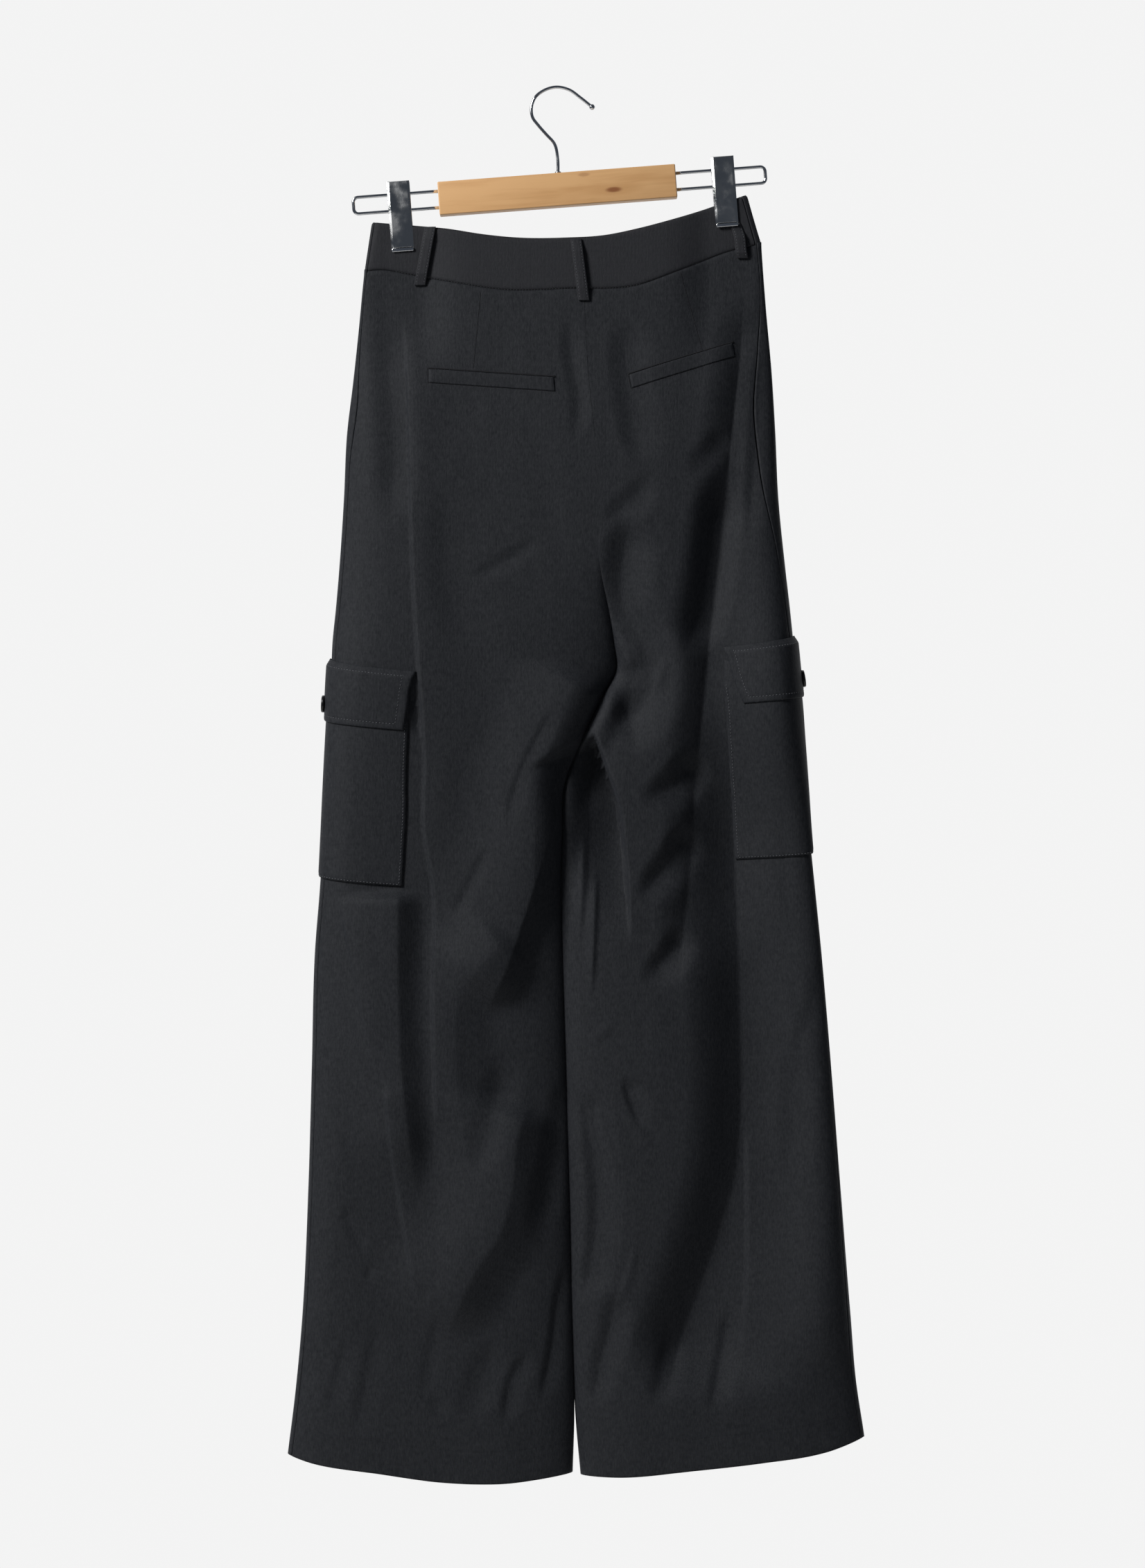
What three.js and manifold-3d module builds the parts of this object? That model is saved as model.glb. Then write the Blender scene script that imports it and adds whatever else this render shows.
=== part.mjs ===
// Cargo trousers hanging by the waistband from a clip hanger.
// Millimetres. +Z is up, -Y is the back of the trousers, -X is the wearer's left.
// The origin is the inner crest of the hanger's hook, where the rail carries it.
import * as THREE from 'three';
import Module from 'manifold-3d';

const manifold = await Module();
manifold.setup();

// Cloth and its seams.
const CLOTH = 1.6;            // wall of the legs and seat
const BAND = 2.0;             // waistband, two plies and its stiffening
const PATCH = 1.4;            // cargo pocket and flap
const TRIM = 1.2;             // welts, belt loops and fly
const SEAM = 0.3;             // space left between two sewn pieces
const LAID = 0.5;             // space under a piece that lies on a panel
const HIP = -165;             // nominal height of the panels' top row
const HEM = -1200;            // nominal height of their bottom row

// The flattened garment, a row per height.
// height, left edge, right edge, centre seam and then the line between the legs,
// half the space there, depth of the back layer, depth of the front layer,
// and how far the two halves are one tube (1) or two legs (0).
const OUTLINE_COLUMNS = [
  'height', 'left', 'right', 'middle', 'space', 'back', 'front', 'joined',
];
const OUTLINE = [
  [-141, -165, 178, 23, 0.15, 7, 7, 1],
  [-165, -168, 179, 24, 0.15, 9, 9, 1],
  [-215, -173, 183, 26, 0.15, 13, 14, 1],
  [-260, -178, 188, 29, 0.15, 17, 18, 1],
  [-300, -183, 191, 33, 0.15, 20, 21, 1],
  [-360, -186, 194, 34, 0.15, 23, 23, 1],
  [-420, -190, 200, 38, 0.15, 24, 24, 0.92],
  [-455, -193, 204, 45, 0.15, 24, 24, 0.62],
  [-485, -196, 207, 50, 0.15, 24, 24, 0.24],
  [-508, -197, 209, 52, 0.2, 24, 23, 0],
  [-530, -198, 212, 41, 0.2, 24, 23, 0],
  [-570, -200, 215, 22, 0.25, 23, 22, 0],
  [-610, -202, 218, 7, 0.3, 22, 21, 0],
  [-650, -204, 221, 5, 0.4, 21, 20, 0],
  [-700, -207, 226, 4, 0.4, 20, 19, 0],
  [-750, -211, 231, 5, 0.4, 19, 18, 0],
  [-855, -214, 240, 8, 0.4, 19, 18, 0],
  [-960, -217, 248, 11, 0.4, 20, 18, 0],
  [-1085, -223, 257, 14, 0.4, 21, 19, 0],
  [-1150, -229, 262, 16, 0.6, 22, 20, 0],
  [-1200, -235, 269, 17.5, 3.4, 22, 20, 0],
];

// Heights along the width: x, height.
const WAIST_TOP = [
  [-161, -117], [-96, -123], [-65, -128], [-35, -131],
  [10, -131], [41, -129], [71, -123], [101, -115], [166, -93],
];
const WAIST_SEAM = [
  [-168, -160], [-152, -159], [-128, -163], [-87, -171],
  [-47, -177], [12, -176], [71, -173], [107, -160], [150, -143], [179, -136],
];
const BAND_EDGE = { left: [-161, -167.5], right: [166, 178.5] };   // x at its top and its seam
const LEFT_HEM = [
  [-235, -1193], [-217, -1198], [-156, -1207], [-96, -1215], [-50, -1216], [14, -1209],
];
const RIGHT_HEM = [
  [20, -1211], [56, -1211], [116, -1205], [177, -1198], [238, -1188], [268, -1178],
];

// Side seams, measured round the edge onto the back: height, left, right.
const SIDE_SEAM = [
  [-141, 2.4, 5], [-214, 2.6, 5], [-245, 4, 11], [-285, 7, 18],
  [-330, 4.4, 16], [-400, 4, 7], [-480, 4, 4], [-1200, 4, 4],
];

// Largest folds, a row each: where the crest starts and ends, how far it bows to the right
// of that line, its height (a trough is negative), its width to each side, and the length
// over which each end fades.
const FOLD_COLUMNS = [
  'x1', 'z1', 'x2', 'z2', 'bow', 'height', 'before', 'after', 'fadeIn', 'fadeOut',
];
const BACK_FOLDS = [
  [160, -185, 96, -850, 2, 7, 9, 34, 90, 170],       // right seat, over the hip and down
  [132, -290, 76, -820, 0, -8, 26, 16, 120, 160],    // hollow to its left
  [-129, -215, -105, -930, -2, 5.5, 22, 17, 80, 160],   // left leg crease
  [-152, -300, -148, -700, 0, -4.5, 17, 17, 80, 120],   // hollow outside it
  [48, -512, -36, -745, 6, 6.5, 34, 11, 40, 60],     // left thigh, across from the crotch
  [-2, -660, -66, -905, 8, -8, 17, 22, 60, 80],      // hollow under it
  [34, -580, 64, -745, 6, 6, 12, 20, 40, 60],        // right thigh rim
  [150, -560, 138, -1000, 3, -6, 16, 14, 100, 160],  // right leg, outer hollow
  [162, -840, 164, -1170, 4, 7, 22, 20, 120, 40],    // right leg, lower ridge
  [134, -905, 80, -1190, 4, -8, 24, 20, 100, 40],    // right leg, lower hollow
  [-150, -920, -118, -1120, -3, 5, 14, 16, 90, 90],  // left leg, lower crease
  [-30, -820, -78, -1080, 3, 5, 15, 15, 80, 90],     // left leg, light tongue
  [6, -870, -66, -1130, 4, -7, 18, 15, 90, 60],      // left leg, lower hollow
  [86, -300, 78, -470, 3, -5, 26, 22, 80, 90],       // right seat hollow
];
const FRONT_FOLDS = [
  [-118, -260, -102, -1150, -3, 6, 22, 18, 120, 60],
  [150, -300, 140, -1150, 4, 6.5, 20, 24, 120, 60],
  [46, -515, -70, -770, -8, 5, 30, 14, 40, 90],
  [54, -520, 120, -790, 8, 5, 14, 28, 40, 90],
  [-40, -700, -66, -1180, 3, -7, 20, 22, 120, 60],
  [74, -720, 86, -1180, -4, -7, 20, 22, 120, 60],
  [-150, -420, -156, -900, 2, -5, 18, 18, 120, 120],
  [178, -430, 186, -960, 2, -5, 18, 18, 120, 120],
];

// The clips press both layers of the waistband together.
const CLIP_GRIPS = [-134, 148];       // x of the two grips
const GRIP_DEPTH = 2.35;              // each layer's outer face from the mid plane there
const GRIP_HALF = 13;                 // half the length that lies flat between the jaws
const GRIP_SPREAD = 22;               // how far along the waist the pinch eases off
const GRIP_REACH = 110;               // how far down it eases off

// Hanger, in its own frame: along the rail and square to it.
const HANGER_TILT = THREE.MathUtils.degToRad(4.33);
const HANGER_CENTRE = [0.7, -89];     // x and height of the block's centre
const BLOCK = { length: 208, height: 29, thickness: 13, round: 3 };
const RAIL = { left: -180.2, right: 183.8, spread: 14.4, wire: 3 };
const CLIP = { along: [-138.5, 145.5], centre: -12.6, width: 20, height: 62, sheet: 1.2 };
const BRIDGE = 7;             // height of a clip's bridge over the upper wire
const PIVOT = 3.2;            // a clip's pivot pin
const HOOK_WIRE = 2.9;
const HOOK_LINE = [
  [1.3, -73.9], [1, -62], [-2, -48], [-9, -40], [-16, -32], [-21, -25],
  [-22, -17], [-19, -8], [-10, -1], [0, 1.45], [11, -1], [21, -8], [31, -16],
];
const HOOK_BALL = 2.6;

const COLOURS = {
  cloth: 0x2b2c30, band: 0x2f3034, button: 0x101012, chrome: 0xc9ccd0, wood: 0xd7a473,
};

const mix = (from, to, share) => from + (to - from) * share;
const clamp01 = (value) => Math.min(1, Math.max(0, value));
const ease = (value) => {
  const t = clamp01(value);
  return t * t * (3 - 2 * t);
};

// Straight interpolation in a table whose first column is the key.
function lookUp(table, key, column) {
  const rising = table[0][0] < table[table.length - 1][0];
  const before = (row) => (rising ? row[0] <= key : row[0] >= key);
  let index = 0;
  while (index < table.length - 2 && before(table[index + 1])) index += 1;
  const [low, high] = [table[index], table[index + 1]];
  const share = clamp01((key - low[0]) / (high[0] - low[0]));
  return mix(low[column], high[column], share);
}

const outline = (height, name) => lookUp(OUTLINE, height, OUTLINE_COLUMNS.indexOf(name));

// Height of a sloping line's point across one fold, and its bell-shaped section.
function foldHeight(rows, x, z) {
  let total = 0;
  for (const row of rows) {
    const fold = Object.fromEntries(FOLD_COLUMNS.map((name, index) => [name, row[index]]));
    const run = [fold.x2 - fold.x1, fold.z2 - fold.z1];
    const length = Math.hypot(...run);
    const along = ((x - fold.x1) * run[0] + (z - fold.z1) * run[1]) / length;
    if (along < 0 || along > length) continue;
    const share = along / length;
    const across = ((x - fold.x1) * -run[1] + (z - fold.z1) * run[0]) / length
      - fold.bow * 4 * share * (1 - share);
    const width = across < 0 ? fold.before : fold.after;
    if (Math.abs(across) > width) continue;
    const bell = 0.5 + 0.5 * Math.cos(Math.PI * across / width);
    total += fold.height * bell * ease(along / fold.fadeIn) * ease((length - along) / fold.fadeOut);
  }
  return total;
}

// How hard the clips pinch the cloth at a point, from 0 to 1.
function pinch(x, drop) {
  let grip = 0;
  for (const at of CLIP_GRIPS) {
    const away = Math.max(0, Math.abs(x - at) - GRIP_HALF) / GRIP_SPREAD;
    grip = Math.max(grip, Math.exp(-(away ** 2)));
  }
  return grip * (1 - ease(drop / GRIP_REACH));
}

// Rows of the panels follow the waist seam at the top and the hem at the bottom.
function heightAt(side, x, row) {
  const top = (lookUp(WAIST_SEAM, x, 1) - SEAM - HIP) * (1 - ease((HIP - row) / 170));
  const hem = side < 0 ? LEFT_HEM : RIGHT_HEM;
  const bottom = (lookUp(hem, x, 1) - HEM) * (1 - ease((row - HEM) / 300));
  return row + top + bottom;
}

// Depth of a layer at a share of the way from the side edge to the middle.
function layerDepth({ x, z, row, share, back, grow, drop }) {
  const joined = outline(row, 'joined');
  const tube = Math.sqrt(1 - (1 - share) ** 2);
  const leg = Math.sqrt(Math.max(0, 1 - (1 - 2 * share) ** 2));
  const round = mix(leg, tube, joined);
  const folds = back ? BACK_FOLDS : FRONT_FOLDS;
  const settled = ease(drop / 120);
  const fold = foldHeight(folds, x, z) * settled * Math.min(1, round * 1.25);
  const loose = (outline(row, back ? 'back' : 'front') + grow) * round + fold;
  const tight = Math.min(loose, GRIP_DEPTH + grow);
  return mix(loose, tight, pinch(x, drop));
}

// A point of the leg or seat on one side (-1 left, 1 right). The angle goes from -180 at the
// front middle over 0 at the side edge to 180 at the back middle. grow moves it outwards.
function clothPoint(side, row, angle, grow = 0) {
  const share = (1 - Math.cos(THREE.MathUtils.degToRad(angle))) / 2;
  const edge = outline(row, side < 0 ? 'left' : 'right') + side * grow;
  const joined = outline(row, 'joined');
  const inner = outline(row, 'middle')
    + side * (outline(row, 'space') - grow * (1 - joined));
  const x = mix(edge, inner, share);
  const z = heightAt(side, x, row);
  const back = angle >= 0;
  const depth = layerDepth({ x, z, row, share, back, grow, drop: HIP - row });
  return [x, back ? -depth : depth, z];
}

// The waistband continues the same ring upwards; down is 0 at its top and 1 at its seam.
function bandPoint(side, down, angle, grow = 0) {
  const share = (1 - Math.cos(THREE.MathUtils.degToRad(angle))) / 2;
  const edge = mix(...BAND_EDGE[side < 0 ? 'left' : 'right'], down) + side * grow;
  const x = mix(edge, outline(HIP, 'middle'), share);
  const z = mix(lookUp(WAIST_TOP, x, 1), lookUp(WAIST_SEAM, x, 1), down);
  const back = angle >= 0;
  const row = mix(-141, HIP, down);
  const depth = layerDepth({ x, z, row, share, back, grow, drop: 0 });
  return [x, back ? -depth : depth, z];
}

const angleOf = (distance, width) => {
  const share = clamp01(distance / width);
  return THREE.MathUtils.radToDeg(Math.acos(1 - 2 * share));
};

function halfWidth(side, row) {
  return Math.abs(outline(row, 'middle') - outline(row, side < 0 ? 'left' : 'right'));
}

function seamAngle(side, row) {
  return angleOf(lookUp(SIDE_SEAM, row, side < 0 ? 1 : 2), halfWidth(side, row));
}

// A thin closed wall. place(column, row, layer) gives its outer (0) or inner (1) face.
function wall(columns, rows, place) {
  const points = [];
  for (const layer of [0, 1]) {
    for (let row = 0; row < rows; row += 1) {
      for (let column = 0; column < columns; column += 1) {
        points.push(...place(column, row, layer));
      }
    }
  }
  const at = (column, row, layer) => layer * rows * columns + row * columns + column;
  const faces = [];
  const quad = (a, b, c, d) => faces.push(a, b, c, a, c, d);
  for (let row = 0; row < rows - 1; row += 1) {
    for (let column = 0; column < columns - 1; column += 1) {
      const [right, below] = [column + 1, row + 1];
      quad(at(column, row, 0), at(column, below, 0), at(right, below, 0), at(right, row, 0));
      quad(at(column, row, 1), at(right, row, 1), at(right, below, 1), at(column, below, 1));
    }
  }
  for (let column = 0; column < columns - 1; column += 1) {
    const [right, last] = [column + 1, rows - 1];
    quad(at(column, 0, 0), at(right, 0, 0), at(right, 0, 1), at(column, 0, 1));
    quad(at(column, last, 0), at(column, last, 1), at(right, last, 1), at(right, last, 0));
  }
  for (let row = 0; row < rows - 1; row += 1) {
    const [below, last] = [row + 1, columns - 1];
    quad(at(0, row, 0), at(0, row, 1), at(0, below, 1), at(0, below, 0));
    quad(at(last, row, 0), at(last, below, 0), at(last, below, 1), at(last, row, 1));
  }
  return facingOut(points, faces);
}

function facingOut(points, faces) {
  let volume = 0;
  const corner = (index) => new THREE.Vector3().fromArray(points, index * 3);
  for (let face = 0; face < faces.length; face += 3) {
    const [a, b, c] = [corner(faces[face]), corner(faces[face + 1]), corner(faces[face + 2])];
    volume += a.dot(b.cross(c));
  }
  if (volume < 0) {
    for (let face = 0; face < faces.length; face += 3) {
      [faces[face + 1], faces[face + 2]] = [faces[face + 2], faces[face + 1]];
    }
  }
  const geometry = new THREE.BufferGeometry();
  geometry.setAttribute('position', new THREE.Float32BufferAttribute(points, 3));
  geometry.setIndex(faces);
  geometry.computeVertexNormals();
  return geometry;
}

const object = new THREE.Group();
object.name = 'cargo_trousers_on_clip_hanger';

function add(name, geometry, colour, roughness, metalness = 0) {
  const material = new THREE.MeshStandardMaterial({ color: colour, roughness, metalness });
  const mesh = new THREE.Mesh(geometry, material);
  mesh.name = name;
  object.add(mesh);
}

const sideName = (side) => (side < 0 ? 'left' : 'right');

// ---------------------------------------------------------------- leg and seat panels
// Rows of every panel, closer together where the seat divides into legs.
const PANEL_HEIGHTS = [
  HIP, -200, -240, -285, -330, -375, -415, -450, -480, -508, -530, -555, -582, -612,
  -648, -690, -740, -795, -855, -915, -980, -1050, -1125, HEM,
];
const PANEL_ROWS = PANEL_HEIGHTS.length;
const STEP = 10;              // degrees round the ring between two columns
const SEAM_ANGLE = 1;         // half the angle left open at a side seam

// Columns of the back layer on one side, from its side seam to the middle.
function backAngles(start) {
  const angles = [start];
  for (let angle = 2 * STEP; angle <= 180; angle += STEP) {
    angles.push(Math.max(angle, angles[angles.length - 1] + STEP * 0.3));
  }
  return angles;
}

// Columns of the front layer, from the front middle round the edge to the side seam.
function frontAngles(middle, end) {
  const angles = [middle];
  for (let angle = -150; angle <= -120; angle += 3 * STEP) angles.push(angle);
  for (let angle = -100; angle <= 0; angle += STEP) angles.push(angle);
  angles.push(Math.min(STEP, end * 0.5), Math.min(2 * STEP, end * 0.8), end);
  return angles;
}

for (const side of [-1, 1]) {
  const back = wall(backAngles(0).length, PANEL_ROWS, (column, rowIndex, layer) => {
    const row = PANEL_HEIGHTS[rowIndex];
    const angle = backAngles(seamAngle(side, row) + SEAM_ANGLE)[column];
    return clothPoint(side, row, angle, layer ? -CLOTH : 0);
  });
  add(`back_${sideName(side)}`, back, COLOURS.cloth, 0.85);
  const front = wall(frontAngles(0, 0).length, PANEL_ROWS, (column, rowIndex, layer) => {
    const row = PANEL_HEIGHTS[rowIndex];
    const angle = frontAngles(-180, seamAngle(side, row) - SEAM_ANGLE)[column];
    const point = clothPoint(side, row, angle, layer ? -CLOTH : 0);
    // Below the crotch its inner edge meets the back's at the inseam.
    if (column === 0) point[1] += (1 - outline(row, 'joined')) * SEAM;
    return point;
  });
  add(`front_${sideName(side)}`, front, COLOURS.cloth, 0.85);
}

// ---------------------------------------------------------------- waistband
const BAND_ROWS = 3;

function bandPiece(spots) {
  return wall(spots.length, BAND_ROWS, (column, rowIndex, layer) => {
    const [side, angle] = spots[column];
    return bandPoint(side, rowIndex / (BAND_ROWS - 1), angle, layer ? -BAND : 0);
  });
}

const bandSeam = (side) => seamAngle(side, -141);
const bandBack = [-1, 1].map((side) => (
  backAngles(bandSeam(side) + SEAM_ANGLE).map((angle) => [side, angle])
));
add('waistband_back', bandPiece([...bandBack[0], ...bandBack[1].slice(0, -1).reverse()]),
  COLOURS.band, 0.85);
for (const side of [-1, 1]) {
  const spots = frontAngles(-180 + 3, bandSeam(side) - SEAM_ANGLE).map((angle) => [side, angle]);
  add(`waistband_front_${sideName(side)}`, bandPiece(spots), COLOURS.band, 0.85);
}

// ---------------------------------------------------------------- pieces laid on the cloth
// How far the outer face stands from the mid plane at any x and height, found on the facets
// of the cloth built so far, or at the nearest height that has cloth (a seam is open there).
const caster = new THREE.Raycaster();

function faceDepth(x, z, back) {
  const far = 200;
  for (const shift of [0, 1, -1, 2, -2]) {
    caster.set(
      new THREE.Vector3(x, back ? -far : far, z + shift),
      new THREE.Vector3(0, back ? 1 : -1, 0),
    );
    const [hit] = caster.intersectObjects(object.children, false);
    if (hit && hit.distance < far) return far - hit.distance;
  }
  return 0;
}

// A strip laid on the back or front: its four corners, how far it stands off, its thickness.
function laidStrip({ corners, back, columns, rows, lift, thickness }) {
  const [topLeft, topRight, footRight, footLeft] = corners;
  const at = (across, down, axis) => mix(
    mix(topLeft[axis], topRight[axis], across),
    mix(footLeft[axis], footRight[axis], across),
    down,
  );
  return wall(columns, rows, (column, rowIndex, layer) => {
    const [across, down] = [column / (columns - 1), rowIndex / (rows - 1)];
    const [x, z] = [at(across, down, 0), at(across, down, 1)];
    const depth = faceDepth(x, z, back) + lift(down) + (layer ? 0 : thickness);
    return [x, back ? -depth : depth, z];
  });
}

// Back hip pockets: a welt over each slit, and the dart above it is only a stitched line.
const WELTS = [
  { name: 'welt_left', corners: [[-111.8, -246.7], [-1.8, -254.2], [-1, -266.2], [-111, -258.7]] },
  { name: 'welt_right', corners: [[63, -251.6], [150, -224.2], [152, -235.8], [65.5, -263.2]] },
];
for (const { name, corners } of WELTS) {
  const strip = laidStrip({
    corners, back: true, columns: 12, rows: 2, lift: () => LAID, thickness: TRIM,
  });
  add(name, strip, COLOURS.cloth, 0.85);
}

// Belt loops, stitched at both ends and free between them.
const LOOP_STAND = 2.4;
const LOOPS = [
  { name: 'belt_loop_back_left', x: [-110.3, -119.5], z: [-121.8, -172.5], back: true },
  { name: 'belt_loop_back_centre', x: [16.9, 23.8], z: [-133, -186.6], back: true },
  { name: 'belt_loop_back_right', x: [147.5, 162.5], z: [-101.8, -149], back: true, flat: 0.5 },
  { name: 'belt_loop_front_left', x: [-84, -88], z: [-126.5, -176], back: false },
  { name: 'belt_loop_front_right', x: [98, 103], z: [-117, -166], back: false },
];
for (const { name, x, z, back, flat = 0 } of LOOPS) {
  const half = 5;
  const strip = laidStrip({
    corners: [
      [x[0] - half, z[0]], [x[0] + half, z[0]], [x[1] + half, z[1]], [x[1] - half, z[1]],
    ],
    back,
    columns: 2,
    rows: 11,
    lift: (down) => {
      const free = clamp01((down - flat) / (1 - flat));
      return LAID + LOOP_STAND * Math.min(1, Math.sin(Math.PI * free) * 1.6);
    },
    thickness: TRIM,
  });
  add(name, strip, COLOURS.cloth, 0.85);
}

// Fly: the overlap on the wearer's left front, curved in to the centre seam at its foot.
const FLY = { width: 37, length: 172, curve: 48, rows: 12, columns: 4 };
{
  const top = lookUp(WAIST_SEAM, 6, 1) - 2;
  const strip = wall(FLY.columns, FLY.rows, (column, rowIndex, layer) => {
    const drop = FLY.length * rowIndex / (FLY.rows - 1);
    const turn = clamp01((drop - (FLY.length - FLY.curve)) / FLY.curve);
    const width = Math.max(2, FLY.width * Math.sqrt(1 - turn * turn));
    const z = top - drop;
    const x = outline(z, 'middle') - 1 - width * (1 - column / (FLY.columns - 1));
    return [x, faceDepth(x, z, false) + LAID + (layer ? 0 : TRIM), z];
  });
  add('fly', strip, COLOURS.cloth, 0.85);
}

// ---------------------------------------------------------------- cargo pockets and flaps
// Each is centred on the side seam. Distances are from the side edge round onto the back
// and onto the front; heights are at the back corner, the side edge and the front corner.
const POCKETS = [
  {
    side: -1,
    pocket: { back: [73, 73], front: [75, 75], top: [-523, -509, -509], foot: [-697, -688, -690] },
    flap: { back: [76, 70], front: [77, 75], top: [-510.5, -498, -500], foot: [-561.4, -552, -554] },
    button: -538,
  },
  {
    side: 1,
    pocket: { back: [63, 67], front: [83, 80], top: [-500, -490, -495], foot: [-674, -668, -675] },
    flap: { back: [63, 51], front: [85, 84], top: [-488.7, -478, -484], foot: [-537.8, -531, -538] },
    button: -516,
  },
];
const FLAP_TOP = 6;           // strip of the flap that is stitched flat above the pocket
const POCKET_STAND = 0.8;     // how far the pocket's cloth stands off the leg

// A point of a piece that lies on the panels, on the facet between their rows and columns.
function onPanel(side, row, angle, grow) {
  const index = PANEL_HEIGHTS.findIndex((height, at) => at > 0 && height <= row);
  const [above, below] = [PANEL_HEIGHTS[index - 1], PANEL_HEIGHTS[index]];
  const before = Math.floor(angle / STEP) * STEP;
  const along = (from, to, share) => from.map((value, axis) => mix(value, to[axis], share));
  const [high, low] = [above, below].map((height) => along(
    clothPoint(side, height, before, grow),
    clothPoint(side, height, before + STEP, grow),
    (angle - before) / STEP,
  ));
  return along(high, low, (row - above) / (below - above));
}

// Its rows and columns are those of the panels under it, with its own edges added.
const LEAST_STEP = 1.5;

function wrapPiece(side, shape, strip, lift) {
  const reach = (distances, row, share) => angleOf(mix(...distances, share), halfWidth(side, row));
  const most = (distances) => Math.floor(Math.max(
    reach(distances, shape.top[1], 0), reach(distances, shape.foot[1], 1),
  ) / STEP - 0.2);
  const steps = [];
  for (let step = -most(shape.front); step <= most(shape.back); step += 1) steps.push(step * STEP);
  const under = PANEL_HEIGHTS.filter((height) => (
    height < Math.min(...shape.top) - strip - 3 && height > Math.max(...shape.foot) + 3
  ));
  const rows = under.length + 2 + (strip ? 1 : 0);
  return wall(steps.length + 2, rows, (column, rowIndex, layer) => {
    const middleHeights = [shape.top[1], ...(strip ? [shape.top[1] - strip] : []), ...under,
      shape.foot[1]];
    const share = (middleHeights[rowIndex] - shape.top[1]) / (shape.foot[1] - shape.top[1]);
    const first = -reach(shape.front, middleHeights[rowIndex], share);
    const last = reach(shape.back, middleHeights[rowIndex], share);
    const fromEnd = steps.length - column + 1;
    const kept = Math.min(
      last - LEAST_STEP * fromEnd,
      Math.max(first + LEAST_STEP * column, steps[column - 1] ?? 0),
    );
    const angle = [first, kept, last][(column > 0) + (column > steps.length)];
    const towards = angle < 0 ? angle / first : angle / last;
    const corner = angle < 0 ? 2 : 0;
    const top = mix(shape.top[1], shape.top[corner], towards);
    const foot = mix(shape.foot[1], shape.foot[corner], towards);
    const heights = [top, ...(strip ? [top - strip] : []), ...under, foot];
    return onPanel(side, heights[rowIndex], angle, lift(rowIndex) + (layer ? 0 : PATCH));
  });
}

for (const { side, pocket, flap, button } of POCKETS) {
  const name = sideName(side);
  add(`cargo_pocket_${name}`, wrapPiece(side, pocket, 0, () => POCKET_STAND), COLOURS.cloth, 0.85);
  const over = 2 * POCKET_STAND + PATCH;
  const lift = (rowIndex) => (rowIndex === 0 ? LAID : over);
  add(`cargo_flap_${name}`, wrapPiece(side, flap, FLAP_TOP, lift), COLOURS.cloth, 0.85);
  const radius = 7.5;
  const thickness = 2.8;
  const disc = new THREE.CylinderGeometry(radius, radius, thickness, 20);
  disc.rotateZ(Math.PI / 2);
  const edge = onPanel(side, button - radius, 0, over + PATCH + SEAM)[0];
  disc.translate(edge + side * thickness / 2, 0, button);
  add(`cargo_button_${name}`, disc, COLOURS.button, 0.4);
}

{
  const thickness = 3;
  const disc = new THREE.CylinderGeometry(8.5, 8.5, thickness, 20);
  const [x, z] = [8, -152];
  disc.translate(x, faceDepth(x, z, false) + LAID + thickness / 2, z);
  add('waist_button', disc, COLOURS.button, 0.4);
}

// ---------------------------------------------------------------- hanger
// Lines with a round section; the ends are closed.
function wireAlong(points, diameter, steps, corners = 10) {
  const shape = new THREE.Shape();
  for (let corner = 0; corner < corners; corner += 1) {
    const angle = 2 * Math.PI * corner / corners;
    const [u, v] = [Math.cos(angle) * diameter / 2, Math.sin(angle) * diameter / 2];
    if (corner === 0) shape.moveTo(u, v);
    else shape.lineTo(u, v);
  }
  const path = new THREE.CatmullRomCurve3(points.map((point) => new THREE.Vector3(...point)));
  return new THREE.ExtrudeGeometry(shape, { steps, extrudePath: path, bevelEnabled: false });
}

// Welds a geometry's corners by place, so that it is one closed mesh.
function welded(geometry) {
  const position = geometry.getAttribute('position');
  const index = geometry.getIndex();
  const count = index ? index.count : position.count;
  const places = new Map();
  const points = [];
  const faces = [];
  for (let corner = 0; corner < count; corner += 1) {
    const from = index ? index.getX(corner) : corner;
    const point = [position.getX(from), position.getY(from), position.getZ(from)];
    const key = point.map((value) => Math.round(value * 1e4)).join();
    if (!places.has(key)) {
      places.set(key, points.length / 3);
      points.push(...point);
    }
    faces.push(places.get(key));
  }
  const kept = [];
  for (let face = 0; face < faces.length; face += 3) {
    const [a, b, c] = faces.slice(face, face + 3);
    if (a !== b && b !== c && a !== c) kept.push(a, b, c);
  }
  return { points, faces: kept };
}

function solidOf(geometry) {
  const { points, faces } = welded(geometry);
  const out = facingOut(points, faces);
  const mesh = new manifold.Mesh({
    numProp: 3,
    vertProperties: Float32Array.from(out.getAttribute('position').array),
    triVerts: Uint32Array.from(out.getIndex().array),
  });
  return new manifold.Manifold(mesh);
}

function geometryOf(solid) {
  const mesh = solid.getMesh();
  return facingOut(Array.from(mesh.vertProperties), Array.from(mesh.triVerts));
}

// From the hanger's own frame (along the rail, depth, up from the rail) to the object's.
function hung(geometry) {
  geometry.rotateY(-HANGER_TILT);
  geometry.translate(HANGER_CENTRE[0], 0, HANGER_CENTRE[1]);
  return geometry;
}

const hookLine = HOOK_LINE.map(([x, z]) => [x, 0, z]);
const ball = new THREE.SphereGeometry(HOOK_BALL, 12, 8);
ball.translate(...hookLine.at(-1));
const hook = solidOf(wireAlong(hookLine, HOOK_WIRE, 30, 8)).add(solidOf(ball));
add('hook', geometryOf(hook), COLOURS.chrome, 0.15, 1);

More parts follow.
